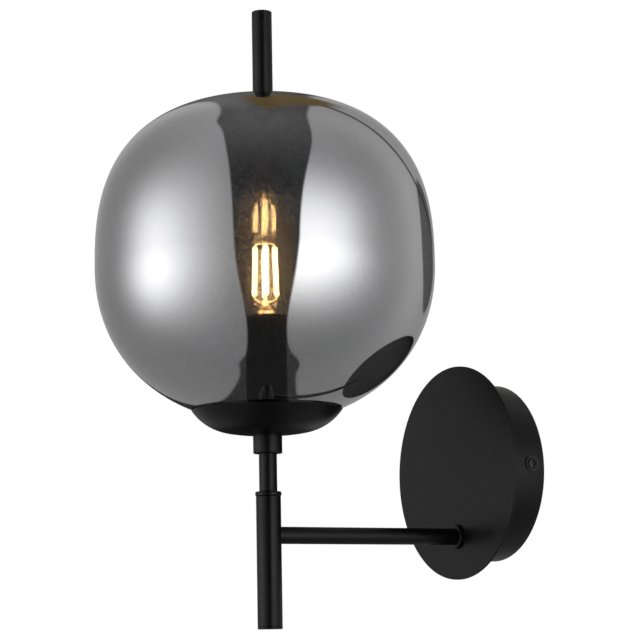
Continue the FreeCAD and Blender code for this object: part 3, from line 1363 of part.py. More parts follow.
NODES = {
    "wall_bracket": wall_bracket,
    "canopy_box": canopy_box,
    "front_disc": front_disc,
    "disc_stud": disc_stud,
    "disc_stud_washer": disc_stud_washer,
    "disc_stud_nut": disc_stud_nut,
    "side_screw_right": lambda: side_screw(1),
    "side_screw_left": lambda: side_screw(-1),
    "side_washer_right": lambda: side_washer(1),
    "side_washer_left": lambda: side_washer(-1),
    "earth_screw": earth_screw,
    "earth_washer": earth_washer,
    "terminal_block": terminal_block,
    "terminal_inserts": terminal_inserts,
    "clamp_screws": clamp_screws,
    "block_screws": block_screws,
    "arm_tube": arm_tube,
    "arm_ring": arm_ring,
    "arm_lock_washer": arm_lock_washer,
    "earth_tag": earth_tag,
    "arm_lock_nut": arm_lock_nut,
    "upright_tube": upright_tube,
    "upright_end_cap": end_cap,
    "upright_top_bush": top_bush,
    "neck_tube": neck_tube,
    "collar": collar,
    "threaded_nipple": threaded_nipple,
    "dish": dish,
    "dish_lock_washer": dish_lock_washer,
    "dish_lock_nut": dish_lock_nut,
    "gallery_spacer": gallery_spacer,
    "gallery_plate": gallery_plate,
    "glass_gasket": glass_gasket,
    "spring_clips": spring_clips,
    "clip_rivets": clip_rivets,
    "glass_globe": glass_globe,
    "crown_washer": crown_washer,
    "finial_rod": finial_rod,
    "crown_stud": crown_stud,
    "inner_pad": inner_pad,
    "inner_washer": inner_washer,
    "crown_nut": crown_nut,
    "candle_sleeve": candle_sleeve,
    "lampholder_base": lampholder_base,
    "lampholder_screw": lampholder_screw,
    "lampholder_body": lampholder_body,
    "threaded_shell": threaded_shell,
    "centre_contact": centre_contact,
    "terminal_posts": terminal_posts,
    "post_screws": post_screws,
    "bulb_cap": bulb_cap,
    "bulb_insulator": bulb_insulator,
    "bulb_contact": bulb_contact,
    "bulb_envelope": bulb_envelope,
    "bulb_stem": bulb_stem,
    "bulb_filaments": bulb_filaments,
    "bulb_leads": bulb_leads,
    "bulb_driver": bulb_driver,
    "lamp_wires": lambda: Part.makeCompound([lamp_wire(side) for side in SIDES]),
    "earth_wire": earth_wire,
}


def main():
    """Writes each node's solids."""
    os.makedirs("parts", exist_ok=True)
    for name, build in NODES.items():
        shape = build()
        if not shape.isValid():
            raise ValueError(name + " is not a valid shape")
        shape.exportStep("parts/" + name + ".step")


main()
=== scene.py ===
import json
import math

import bmesh
import bpy
from bpy.props import FloatProperty, FloatVectorProperty, PointerProperty
from mathutils import Matrix, Vector


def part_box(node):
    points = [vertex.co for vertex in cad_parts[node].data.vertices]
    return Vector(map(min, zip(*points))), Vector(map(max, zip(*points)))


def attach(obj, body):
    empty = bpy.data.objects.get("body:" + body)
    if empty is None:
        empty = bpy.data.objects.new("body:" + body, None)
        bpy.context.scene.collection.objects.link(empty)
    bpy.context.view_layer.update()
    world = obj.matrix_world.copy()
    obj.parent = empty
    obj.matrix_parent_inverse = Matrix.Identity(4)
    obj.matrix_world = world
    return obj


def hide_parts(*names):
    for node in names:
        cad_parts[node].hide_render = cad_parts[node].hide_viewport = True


bl_info = {
    "name": "Globe Wall Sconce",
    "version": (1, 0, 0),
    "blender": (4, 5, 0),
    "location": "View3D > Sidebar > Sconce",
    "description": "Makes a wall light with a smoked globe on a dish, an upright, an arm and a canopy",
    "category": "Add Mesh",
}

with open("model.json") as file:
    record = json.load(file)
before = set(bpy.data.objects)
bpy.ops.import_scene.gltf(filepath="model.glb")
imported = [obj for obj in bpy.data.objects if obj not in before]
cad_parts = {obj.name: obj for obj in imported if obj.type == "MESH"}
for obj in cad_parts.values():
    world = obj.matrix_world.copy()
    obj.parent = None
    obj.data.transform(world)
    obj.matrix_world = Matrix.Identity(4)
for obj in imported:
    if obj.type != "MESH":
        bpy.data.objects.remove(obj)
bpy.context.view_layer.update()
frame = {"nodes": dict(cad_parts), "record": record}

MM = 0.001
ON_AXIS = 0.01 * MM
LATHE_STEPS = 160
GLOBE_STEPS = 256
DISH_STEPS = 224
PLATE_STEPS = 256
SCREW_STEPS = 96
SMOOTH_ANGLE = math.radians(32)
SIDES = {1: "right", -1: "left"}
FORWARD = (0, -1, 0)


# --- The frame's nodes

def low_of(node):
    """Lowest corner of a node."""
    return Vector(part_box(node)[0])


def high_of(node):
    """Highest corner of a node."""
    return Vector(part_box(node)[1])


def half_width(node):
    """Half of a node's size across the lamp."""
    return (high_of(node).x - low_of(node).x) / 2


def levels_of(node):
    """Lowest and highest level of a node."""
    return low_of(node).z, high_of(node).z


def depth_of(node):
    """A node's back, and how far it reaches from there to its front."""
    back = high_of(node).y
    return back, back - low_of(node).y


LAMP_Y = (low_of("upright_tube").y + high_of("upright_tube").y) / 2
ARM_Z = (low_of("arm_tube").z + high_of("arm_tube").z) / 2
ON_LAMP = Matrix.Translation((0, LAMP_Y, 0))


def facing(place, direction):
    """Matrix that stands a piece made about Z at a place, along a direction."""
    turn = Vector(direction).to_track_quat("Z", "Y").to_matrix().to_4x4()
    return Matrix.Translation(place) @ turn


def body_of_node(node):
    """The moving body that a node belongs to."""
    bodies = frame["record"]["behaviour"]["bodies"]
    return next(body for body, nodes in bodies.items() if node in nodes)


def stand_for(piece, *nodes):
    """Puts a made piece in the place of its nodes, on their body."""
    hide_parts(*nodes)
    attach(piece, body_of_node(nodes[0]))
    return piece


def dress(material, *nodes):
    """Gives nodes that keep their shape a finish."""
    for node in nodes:
        piece = frame["nodes"][node]
        if not piece.material_slots:
            raise RuntimeError(node + " has no material slot")
        for slot in piece.material_slots:
            slot.material = material


# --- Shapes

def arc_points(start, end, centre, steps=16):
    """Points along the shorter arc about a centre, ends included."""
    start, end, centre = Vector(start), Vector(end), Vector(centre)
    first = math.atan2(start.y - centre.y, start.x - centre.x)
    last = math.atan2(end.y - centre.y, end.x - centre.x)
    turn = (last - first + math.pi) % (2 * math.pi) - math.pi
    reach = (start - centre).length
    angles = [first + turn * n / steps for n in range(steps + 1)]
    return [centre + Vector((math.cos(a), math.sin(a))) * reach for a in angles]


def filleted(corners, steps=6):
    """Closed outline of (radius, height, fillet) corners, with each fillet as an arc."""
    points = []
    for n, (radius, height, fillet) in enumerate(corners):
        corner = Vector((radius, height))
        if not fillet:
            points.append(corner)
            continue
        before = Vector(corners[n - 1][:2])
        after = Vector(corners[(n + 1) % len(corners)][:2])
        incoming = (corner - before).normalized()
        outgoing = (after - corner).normalized()
        half_turn = incoming.angle(outgoing) / 2
        setback = fillet * math.tan(half_turn)
        centre = corner + (outgoing - incoming).normalized() * (fillet / math.cos(half_turn))
        points += arc_points(corner - incoming * setback, corner + outgoing * setback, centre, steps)
    return points


def mesh_object(name, builder, matrix, *materials):
    """Object from a mesh builder, smooth but for its sharp corners."""
    bmesh.ops.recalc_face_normals(builder, faces=builder.faces)
    mesh = bpy.data.meshes.new(name)
    builder.to_mesh(mesh)
    builder.free()
    mesh.transform(matrix)
    mesh.shade_smooth()
    mesh.set_sharp_from_angle(angle=SMOOTH_ANGLE)
    for material in materials:
        mesh.materials.append(material)
    piece = bpy.data.objects.new(name, mesh)
    bpy.context.scene.collection.objects.link(piece)
    return piece


def spin(builder, points, closed=True, steps=LATHE_STEPS, index=0):
    """Turns (radius, height) points about Z into a builder's faces."""
    rings = []
    for radius, height in points:
        if radius < ON_AXIS:
            rings.append([builder.verts.new((0, 0, height))])
            continue
        angles = [2 * math.pi * n / steps for n in range(steps)]
        ring = [builder.verts.new((radius * math.cos(a), radius * math.sin(a), height)) for a in angles]
        rings.append(ring)
    pairs = list(zip(rings, rings[1:]))
    if closed:
        pairs.append((rings[-1], rings[0]))
    for low, high in pairs:
        for n in range(steps):
            corners = [low[n % len(low)], low[(n + 1) % steps % len(low)]]
            corners += [high[(n + 1) % steps % len(high)], high[n % len(high)]]
            corners = list(dict.fromkeys(corners))
            if len(corners) > 2:
                builder.faces.new(corners).material_index = index
    return rings


def lathed(name, points, matrix, material, steps=LATHE_STEPS):
    """Turned piece from a closed outline."""
    builder = bmesh.new()
    spin(builder, points, steps=steps)
    return mesh_object(name, builder, matrix, material)


def turned(name, node, outline, place=ON_LAMP, material=None, steps=LATHE_STEPS):
    """Turned piece that stands for a node, in the black coat unless it has another finish."""
    stand_for(lathed(name, outline, place, material or black_coat(), steps), node)


def tube_outline(outer, bore, low, high, fillet):
    """Outline of a tube whose outer edges are rounded."""
    return filleted([(bore, low, 0), (outer, low, fillet), (outer, high, fillet), (bore, high, 0)])


def piped(name, node, outer, bore, fillet, material=None):
    """Upright tube that stands for a node, between its lowest and highest level."""
    turned(name, node, tube_outline(outer, bore, *levels_of(node), fillet), material=material)


def raised(place, height):
    """A place moved up."""
    return place + Vector((0, 0, height))


def cut_from(piece, cutters):
    """Cuts objects out of a piece, and removes them."""
    for cutter in cutters:
        modifier = piece.modifiers.new("cut", "BOOLEAN")
        modifier.operation = "DIFFERENCE"
        modifier.solver = "EXACT"
        modifier.object = cutter
    graph = bpy.context.evaluated_depsgraph_get()
    mesh = bpy.data.meshes.new_from_object(piece.evaluated_get(graph))
    piece.modifiers.clear()
    old = piece.data
    piece.data = mesh
    bpy.data.meshes.remove(old)
    mesh.shade_smooth()
    mesh.set_sharp_from_angle(angle=SMOOTH_ANGLE)
    for cutter in cutters:
        bpy.data.objects.remove(cutter)


# --- Finishes

def shader_of(material):
    """The material's shader."""
    return material.node_tree.nodes["Principled BSDF"]


def finish(name, colour, roughness, metallic=0.0, **more):
    """A material, and whether it is new or was already made under that name."""
    known = bpy.data.materials.get(name)
    if known:
        return known, False
    material = bpy.data.materials.new(name)
    material.use_nodes = True
    more.update(Base_Color=(*colour, 1), Roughness=roughness, Metallic=metallic)
    for socket, value in more.items():
        shader_of(material).inputs[socket.replace("_", " ")].default_value = value
    return material, True


def add_node(tree, kind, *values, **inputs):
    """New shader node, whose inputs are set to numbers or linked to other nodes' outputs."""
    node = tree.nodes.new("ShaderNode" + kind)
    sockets = [(node.inputs[name.replace("_", " ")], value) for name, value in inputs.items()]
    for socket, value in [*zip(node.inputs, values), *sockets]:
        if isinstance(value, bpy.types.NodeSocket):
            tree.links.new(value, socket)
        else:
            socket.default_value = value
    return node


def ranged(tree, value, start, end, low, high, kind="LINEAR"):
    """Carries a number from one range to another."""
    node = add_node(tree, "MapRange", Value=value, From_Min=start, From_Max=end, To_Min=low, To_Max=high)
    node.interpolation_type = kind
    return node.outputs["Result"]


def texture(material, kind, size, stretch=(1, 1, 1), **settings):
    """Solid texture in the piece's own space, whose features are of a size in metres."""
    tree = material.node_tree
    place = add_node(tree, "TexCoord").outputs["Object"]
    scaled = add_node(tree, "Mapping", Vector=place, Scale=stretch).outputs["Vector"]
    return add_node(tree, kind, Vector=scaled, Scale=1 / size, **settings).outputs[0]


def noise(material, size, stretch=(1, 1, 1), detail=3.0):
    """Cloudy texture of a size."""
    return texture(material, "TexNoise", size, stretch, Detail=detail)


def add_bump(material, height, depth, strength):
    """Raises the surface by a pattern."""
    tree = material.node_tree
    normal = shader_of(material).inputs["Normal"]
    bump = add_node(tree, "Bump", Height=height, Distance=depth, Strength=strength)
    if normal.links:
        tree.links.new(normal.links[0].from_socket, bump.inputs["Normal"])
    tree.links.new(bump.outputs["Normal"], normal)


def vary(material, socket, pattern, low, high, span=(0.3, 0.7)):
    """Lets a number of the finish follow a pattern."""
    tree = material.node_tree
    tree.links.new(ranged(tree, pattern, *span, low, high), shader_of(material).inputs[socket])


def blend_colours(material, pattern, stops, socket="Base Color"):
    """Lets the colour follow a pattern through (position, colour) stops."""
    tree = material.node_tree
    ramp = add_node(tree, "ValToRGB", Fac=pattern)
    while len(ramp.color_ramp.elements) < len(stops):
        ramp.color_ramp.elements.new(0.5)
    for element, (position, colour) in zip(ramp.color_ramp.elements, stops):
        element.position = position
        element.color = (*colour, 1)
    tree.links.new(ramp.outputs["Color"], shader_of(material).inputs[socket])


def tinted(colour, share):
    """A colour made lighter or darker."""
    return tuple(min(channel * share, 1) for channel in colour)


def black_coat():
    """Satin black powder coat, with its fine orange peel."""
    settings = bpy.context.scene.sconce_finishes
    colour, dullness = settings.coat_colour, settings.coat_roughness
    coat, new = finish("black_powder_coat", colour, dullness, IOR=1.5, Specular_IOR_Level=0.2)
    if new:
        grain = noise(coat, settings.coat_grain, detail=2.0)
        peel = noise(coat, settings.coat_grain * 5, detail=2.0)
        add_bump(coat, grain, 0.03 * MM, 0.35)
        add_bump(coat, peel, 0.08 * MM, 0.18)
        vary(coat, "Roughness", noise(coat, 14 * MM), dullness - 0.05, dullness + 0.05)
        blend_colours(coat, peel, [(0.35, tinted(colour, 0.85)), (0.65, tinted(colour, 1.2))])
    return coat


def plated(name, colour, roughness, stretch=(1, 1, 1), **more):
    """Plated or bare metal with fine drawn lines and a cloudy tarnish."""
    metal, new = finish(name, colour, roughness, 1.0, **more)
    if new:
        add_bump(metal, noise(metal, 0.6 * MM, stretch, 4.0), 0.02 * MM, 0.25)
        vary(metal, "Roughness", noise(metal, 5 * MM), roughness - 0.07, roughness + 0.09)
        clouds = noise(metal, 9 * MM, detail=5.0)
        stops = [(0.3, tinted(colour, 0.8)), (0.55, colour), (0.75, tinted(colour, 1.12))]
        blend_colours(metal, clouds, stops)
    return metal


def moulded(name, colour, roughness):
    """Moulded plastic, rubber or board with a fine skin."""
    material, new = finish(name, colour, roughness)
    if new:
        add_bump(material, noise(material, 0.35 * MM), 0.02 * MM, 0.3)
        vary(material, "Roughness", noise(material, 6 * MM), roughness - 0.05, roughness + 0.07)
        clouds = noise(material, 8 * MM, detail=4.0)
        blend_colours(material, clouds, [(0.3, tinted(colour, 0.88)), (0.7, tinted(colour, 1.08))])
    return material


def zinc_plate():
    """Bright zinc on the steel fasteners and plates."""
    return plated("zinc_plate", (0.56, 0.57, 0.59), 0.32)


def turned_brass():
    """Brass, with the lines of the lathe."""
    return plated("turned_brass", (0.68, 0.49, 0.22), 0.28, (1, 1, 12))


def black_silicone():
    """Soft black pads against the glass."""
    return moulded("black_silicone", (0.02, 0.02, 0.021), 0.55)


# --- Settings

def number(label, note, default, **more):
    """A number that a user may change."""
    return FloatProperty(name=label, description=note, default=default, **more)


def length(label, note, default):
    """A size that a user may change."""
    return number(label, note, default, min=0.0, unit="LENGTH", precision=5)


def angle(label, note, degrees):
    """An angle that a user may change."""
    return number(label, note, math.radians(degrees), subtype="ANGLE")


def colour(label, note, default):
    """A colour that a user may change."""
    return FloatVectorProperty(name=label, description=note, default=default, subtype="COLOR", min=0, max=1)


def share(label, note, default):
    """A share from nought to one."""
    return number(label, note, default, min=0.0, max=1.0, subtype="FACTOR")


class SCONCE_PG_finishes(bpy.types.PropertyGroup):
    """Finishes that several pieces share."""
    coat_colour: colour("Coat Colour", "Colour of the black powder coat", (0.003, 0.003, 0.0032))
    coat_roughness: share("Coat Roughness", "How dull the powder coat is", 0.35)
    coat_grain: length("Coat Grain", "Size of the powder coat's grains", 0.4 * MM)


class SCONCE_PG_globe(bpy.types.PropertyGroup):
    """Sizes and finish of the glass."""
    radius: length("Radius", "Outside radius at the widest ring", 100 * MM)
    top_height: length("Top Height", "Height above the widest ring", 99.8 * MM)
    bottom_height: length("Bottom Height", "Depth of the full oval under the widest ring", 91.8 * MM)
    top_power: number("Top Power", "Squareness of the upper half", 2.6, min=2)
    bottom_power: number("Bottom Power", "Squareness of the lower half", 2.14, min=2)
    wall: length("Wall", "Thickness of the glass", 2.2 * MM)
    mouth_radius: length("Mouth Radius", "Inner radius of the ground lip", 36 * MM)
    lip_width: length("Lip Width", "Width of the ground lip", 2 * MM)
    crown_hole: length("Crown Hole", "Radius of the hole in the crown", 4 * MM)
    mirror_share: share("Mirror Share", "How much of the smoke coat acts as a mirror", 0.82)
    coat_colour: colour("Smoke Colour", "Colour of the smoke coat", (0.5, 0.5, 0.51))


class SCONCE_PG_rod(bpy.types.PropertyGroup):
    """Sizes of the rod on the crown."""
    radius: length("Radius", "Radius of the rod", half_width("finial_rod"))
    edge: length("Edge", "Rounding of the rod's ends", 0.45 * MM)
    bore: length("Bore", "Radius of the tapped hole", 3.05 * MM)
    bore_depth: length("Bore Depth", "Depth of the tapped hole", 14 * MM)


class SCONCE_PG_dish(bpy.types.PropertyGroup):
    """Sizes of the dish and its collar."""
    rim_radius: length("Rim Radius", "Outside radius of the rim", 44.2 * MM)
    wall: length("Wall", "Thickness of the spun sheet", 1.2 * MM)
    land_radius: length("Land Radius", "Radius of the flat middle", 9 * MM)
    crown_round: length("Crown Round", "Radius of the bottom's curve", 80 * MM)
    side_round: length("Side Round", "Radius of the side's curve", 31 * MM)
    hole_radius: length("Hole Radius", "Radius of the hole for the nipple", 5.05 * MM)
    collar_radius: length("Collar Radius", "Outside radius of the collar", half_width("collar"))
    collar_edge: length("Collar Edge", "Rounding of the collar's lower edge", 0.6 * MM)


class SCONCE_PG_stem(bpy.types.PropertyGroup):
    """Sizes of the neck, the bush, the upright and its end cap."""
    neck_radius: length("Neck Radius", "Radius of the neck", half_width("neck_tube"))
    neck_wall: length("Neck Wall", "Wall of the neck", 1.25 * MM)
    bush_radius: length("Bush Radius", "Radius of the upright's top ring", half_width("upright_top_bush"))
    bush_round: length("Bush Round", "Rounding of the ring", 0.9 * MM)
    upright_radius: length("Upright Radius", "Radius of the upright", half_width("upright_tube"))
    upright_wall: length("Upright Wall", "Wall of the upright", 1.2 * MM)
    edge: length("Edge", "Rounding of the tubes' edges", 0.25 * MM)
    cap_thickness: length("Cap Thickness", "Thickness of the end cap's flange", 1.5 * MM)


class SCONCE_PG_arm(bpy.types.PropertyGroup):
    """Sizes of the arm and the ring at its root."""
    radius: length("Radius", "Radius of the arm", half_width("arm_tube"))
    wall: length("Wall", "Wall of the arm", 1 * MM)
    ring_radius: length("Ring Radius", "Radius of the ring at the arm's root", half_width("arm_ring"))
    ring_round: length("Ring Round", "Rounding of the ring", 0.9 * MM)


class SCONCE_PG_wall_plate(bpy.types.PropertyGroup):
    """Sizes of the canopy and the disc in front of it."""
    canopy_radius: length("Canopy Radius", "Outside radius of the canopy", half_width("canopy_box"))
    canopy_wall: length("Canopy Wall", "Thickness of the canopy's sheet", 1.2 * MM)
    canopy_edge: length("Canopy Edge", "Rounding of the canopy's front edge", 0.8 * MM)
    disc_radius: length("Disc Radius", "Radius of the front disc", half_width("front_disc"))
    disc_edge: length("Disc Edge", "Rounding of the disc's edges", 0.3 * MM)
    screw_hole: length("Screw Hole", "Radius of the holes for the side screws", 2.25 * MM)


class SCONCE_PG_side_screws(bpy.types.PropertyGroup):
    """Sizes of the two side screws."""
    head_radius: length("Head Radius", "Radius of the domed head", 3.6 * MM)
    head_height: length("Head Height", "Height of the domed head", 1.5 * MM)
    head_rise: length("Head Rise", "How far the head's middle stands over its edge", 0.9 * MM)
    recess_reach: length("Recess Reach", "Half of the cross recess's length", 2.1 * MM)
    recess_width: length("Recess Width", "Width of the cross recess", 1.1 * MM)
    recess_depth: length("Recess Depth", "Depth of the cross recess", 1.3 * MM)
    shank_radius: length("Shank Radius", "Outside radius of the thread", 2 * MM)
    shank_length: length("Shank Length", "Length under the head", 8 * MM)
    pitch: length("Pitch", "Rise of the thread in one turn", 0.7 * MM)
    washer_gap: length("Washer Gap", "Play between the head and its washer", 0.02 * MM)


class SCONCE_PG_holder(bpy.types.PropertyGroup):
    """Sizes of the sleeve over the lampholder."""
    sleeve_radius: length("Sleeve Radius", "Outside radius of the sleeve", half_width("candle_sleeve"))
    sleeve_wall: length("Sleeve Wall", "Wall of the sleeve", 0.8 * MM)


class SCONCE_PG_bulb(bpy.types.PropertyGroup):
    """Sizes and light of the bulb."""
    radius: length("Radius", "Radius at the widest place", 17.5 * MM)
    widest: length("Widest Height", "Height of the widest place over the cap's rim", 37 * MM)
    neck_radius: length("Neck Radius", "Radius at the cap's rim", 8.2 * MM)
    wall: length("Wall", "Thickness of the glass", 0.8 * MM)
    side_round: length("Side Round", "Radius of the curve up to the tip", 53.1 * MM)
    belly_round: length("Belly Round", "Radius of the curve down to the neck", 45 * MM)
    tip_round: length("Tip Round", "Rounding of the tip", 1.5 * MM)
    filament_radius: length("Filament Radius", "Radius of the coated part of a filament", 1.5 * MM)
    filament_turn: angle("Filament Turn", "Where the first filament stands round the bulb", 66)
    low_spread: length("Low Spread", "How far the filaments' lower ends stand from the axis", 6.6 * MM)
    high_spread: length("High Spread", "How far the filaments' upper ends stand from the axis", 5.7 * MM)
    low_end: length("Low End", "Height of the filaments' lower ends over the cap's rim", 12 * MM)
    high_end: length("High End", "Height of the filaments' upper ends over the cap's rim", 43 * MM)
    stem_height: length("Stem Height", "Height of the glass stem over the cap's rim", 10.5 * MM)
    lead_radius: length("Lead Radius", "Radius of the lead wires", 0.25 * MM)
    glow_colour: colour("Glow Colour", "Colour of the lit filaments", (1.0, 0.62, 0.25))
    glow: number("Glow", "Strength of the lit filaments", 1300.0, min=0)


class SCONCE_PG_stage(bpy.types.PropertyGroup):
    """Camera, light and floor."""
    lens: number("Lens", "Focal length of the camera", 123.187, unit="CAMERA")
    azimuth: angle("Azimuth", "Where the camera stands round the lamp", 60.163)
    pitch: angle("Pitch", "How far the camera looks up", 8.168)
    roll: angle("Roll", "Tilt of the camera", -1.007)
    place: FloatVectorProperty(
        name="Camera Place", description="Where the camera stands",
        default=(1.120374, -0.763993, -0.096353), subtype="TRANSLATION", unit="LENGTH")
    floor_height: number("Floor Height", "Height of the floor", -0.45, unit="LENGTH")
    floor_size: length("Floor Size", "Width of the floor", 12.0)


# --- The glass

def half_oval(settings, above, inset):
    """Height and squareness of the globe's upper or lower half, moved inwards by an inset."""
    if above:
        return settings.top_height - inset, settings.top_power
    return settings.bottom_height - inset, settings.bottom_power


def oval_reach(settings, angle, inset):
    """Point of the globe's skin at an angle above its widest ring."""
    height, power = half_oval(settings, angle > 0, inset)
    across = (math.cos(angle) / (settings.radius - inset)) ** power
    along = (abs(math.sin(angle)) / height) ** power
    reach = (across + along) ** (-1 / power)
    return Vector((reach * math.cos(angle), reach * math.sin(angle)))


def oval_height(settings, radius, inset, side):
    """Height of the skin over the widest ring at a radius, on the upper or lower side."""
    height, power = half_oval(settings, side > 0, inset)
    return side * height * (1 - (radius / (settings.radius - inset)) ** power) ** (1 / power)


def globe_skin(settings, low_radius, inset, steps=150):
    """Points of one skin of the globe, from its mouth to its crown hole."""
    low = math.atan2(oval_height(settings, low_radius, inset, -1), low_radius)
    high = math.atan2(oval_height(settings, settings.crown_hole, inset, 1), settings.crown_hole)
    return [oval_reach(settings, low + (high - low) * n / steps, inset) for n in range(steps + 1)]


def clear_glass():
    """Clear inner skin of the globe, with the faint waves of blown glass and a little dust."""
    glass, new = finish("globe_clear_skin", (0.97, 0.975, 0.98), 0.035, IOR=1.5, Transmission_Weight=1.0)
    if new:
        add_bump(glass, noise(glass, 70 * MM, detail=1.0), 0.4 * MM, 0.05)
        vary(glass, "Roughness", noise(glass, 0.4 * MM, detail=1.0), 0.03, 0.38, (0.61, 0.66))
    return glass


def smoke_coat(settings):
    """Half-mirror smoke coat on the globe's outer skin."""
    shade = tuple(settings.coat_colour)
    share = settings.mirror_share
    coat, new = finish("globe_smoke_coat", shade, 0.006, share, IOR=1.5, Transmission_Weight=1.0)
    if new:
        clouds = noise(coat, 60 * MM, detail=2.0)
        blend_colours(coat, clouds, [(0.3, tinted(shade, 0.97)), (0.7, tinted(shade, 1.03))])
    return coat


class SCONCE_OT_globe(bpy.types.Operator):
    """Blown glass globe with a ground lip and a half-mirror smoke coat"""
    bl_idname = "sconce.globe"
    bl_label = "Glass Globe"

    def execute(self, context):
        settings = context.scene.sconce_globe
        lip = settings.mouth_radius + settings.lip_width
        outer = globe_skin(settings, lip, 0)
        inner = globe_skin(settings, settings.mouth_radius, settings.wall)
        corner = Vector((settings.mouth_radius, outer[0].y))
        centre_z = low_of("glass_globe").z - outer[0].y
        builder = bmesh.new()
        skins = [outer, inner, [outer[-1], inner[-1]], [outer[0], corner, inner[0]]]
        for index, skin in enumerate(skins):
            spin(builder, skin, closed=False, steps=GLOBE_STEPS, index=min(index, 1))
        bmesh.ops.remove_doubles(builder, verts=builder.verts, dist=0.001 * MM)
        place = ON_LAMP @ Matrix.Translation((0, 0, centre_z))
        globe = mesh_object("globe_glass", builder, place, smoke_coat(settings), clear_glass())
        stand_for(globe, "glass_globe")
        return {"FINISHED"}


class SCONCE_OT_rod(bpy.types.Operator):
    """Plain rod on the crown, its soft washer, and the stud, pad, washer and nut inside"""
    bl_idname = "sconce.rod"
    bl_label = "Crown Rod"

    def execute(self, context):
        settings = context.scene.sconce_rod
        low, high = levels_of("finial_rod")
        top = low + settings.bore_depth
        rod = [(settings.bore, low, 0), (settings.radius, low, settings.edge)]
        rod += [(settings.radius, high, settings.edge), (0, high, 0), (0, top, 0), (settings.bore, top, 0)]
        turned("crown_rod", "finial_rod", filleted(rod))
        washer = half_width("crown_washer")
        piped("crown_seal", "crown_washer", washer, settings.bore, 0.3 * MM, black_silicone())
        dress(black_silicone(), "inner_pad")
        dress(zinc_plate(), "crown_stud", "inner_washer", "crown_nut")
        return {"FINISHED"}


# --- Dish and stem

def on_circle(centre, radius, toward, along):
    """The two points of a circle at a distance along the line towards another place."""
    direction = (toward - centre).normalized()
    normal = Vector((-direction.y, direction.x))
    across = math.sqrt(radius ** 2 - along ** 2)
    return [centre + direction * along + normal * across * side for side in SIDES]


def circle_crossing(centre, radius, other_centre, other_radius):
    """Crossing of two circles, on the side nearer to the axis."""
    apart = (other_centre - centre).length
    along = (radius ** 2 - other_radius ** 2 + apart ** 2) / (2 * apart)
    return min(on_circle(centre, radius, other_centre, along), key=lambda point: point.x)


def dish_skin(settings, low, high, inset):
    """Points of one skin of the dish, from its hole to its rim."""
    crown_centre = Vector((settings.land_radius, low + settings.crown_round))
    rim_corner = Vector((settings.rim_radius, high))
    gap = settings.crown_round - settings.side_round
    side_centre = circle_crossing(crown_centre, gap, rim_corner, settings.side_round)
    crown = settings.crown_round - inset
    side = settings.side_round - inset
    blend = crown_centre + (side_centre - crown_centre).normalized() * crown
    rim = Vector((side_centre.x + math.sqrt(side ** 2 - (side_centre.y - high) ** 2), high))
    land = Vector((settings.land_radius, low + inset))
    points = [Vector((settings.hole_radius, low + inset))]
    points += arc_points(land, blend, crown_centre, 20)
    points += arc_points(blend, rim, side_centre, 30)[1:]
    return points


class SCONCE_OT_dish(bpy.types.Operator):
    """Spun dish under the glass, and the collar that carries it"""
    bl_idname = "sconce.dish"
    bl_label = "Dish and Collar"

    def execute(self, context):
        settings = context.scene.sconce_dish
        low, high = levels_of("dish")
        outer = dish_skin(settings, low, high, 0)
        inner = dish_skin(settings, low, high, settings.wall)
        rim = (outer[-1] + inner[-1]) / 2
        lip = arc_points(outer[-1], inner[-1], rim, 2)[1:-1]
        turned("dish_bowl", "dish", outer + lip + inner[::-1], steps=DISH_STEPS)
        foot, top = levels_of("collar")
        bore = context.scene.sconce_stem.neck_radius
        radius = settings.collar_radius
        collar = [(bore, foot, 0), (radius, foot, settings.collar_edge)]
        collar += [(radius, top, 0.15 * MM), (bore, top, 0)]
        turned("dish_collar", "collar", filleted(collar))
        return {"FINISHED"}


class SCONCE_OT_stem(bpy.types.Operator):
    """Neck, bush, upright and end cap"""
    bl_idname = "sconce.stem"
    bl_label = "Upright and Neck"

    def execute(self, context):
        settings = context.scene.sconce_stem
        edge, neck, upright = settings.edge, settings.neck_radius, settings.upright_radius
        inner = upright - settings.upright_wall
        piped("neck_pipe", "neck_tube", neck, neck - settings.neck_wall, edge)
        piped("upright_pipe", "upright_tube", upright, inner, edge)
        foot, top = levels_of("upright_end_cap")
        flange = foot + settings.cap_thickness
        spigot = inner - 0.05 * MM
        cap = [(0, foot, 0), (upright, foot, 0.5 * MM), (upright, flange, edge)]
        cap += [(spigot, flange, 0), (spigot, top, 0), (0, top, 0)]
        turned("upright_plug", "upright_end_cap", filleted(cap))
        foot = high_of("upright_tube").z
        bottom, top = levels_of("upright_top_bush")
        bush = [(neck, bottom, 0), (spigot, bottom, 0), (spigot, foot, 0)]
        bush += [(settings.bush_radius, level, settings.bush_round) for level in (foot, top)]
        turned("upright_bush", "upright_top_bush", filleted(bush + [(neck, top, 0)]))
        return {"FINISHED"}


class SCONCE_OT_arm(bpy.types.Operator):
    """Straight arm and the ring at its root"""
    bl_idname = "sconce.arm"
    bl_label = "Arm"

    def execute(self, context):
        settings = context.scene.sconce_arm
        radius = settings.radius
        back, depth = depth_of("arm_tube")
        outline = tube_outline(radius, radius - settings.wall, 0, depth, 0.2 * MM)
        turned("arm_pipe", "arm_tube", outline, facing((0, back, ARM_Z), FORWARD))
        back, depth = depth_of("arm_ring")
        ring = [(radius, 0, 0), (settings.ring_radius, 0, 0.1 * MM)]
        ring += [(settings.ring_radius, depth, settings.ring_round), (radius, depth, 0.2 * MM)]
        turned("arm_root_ring", "arm_ring", filleted(ring), facing((0, back, ARM_Z), FORWARD))
        return {"FINISHED"}


# --- Wall side

def screw_place(side):
    """Middle of a side screw's head seat."""
    node = "side_screw_" + SIDES[side]
    middle = (low_of(node) + high_of(node)) / 2
    return Vector((side * high_of("side_washer_right").x, middle.y, middle.z))


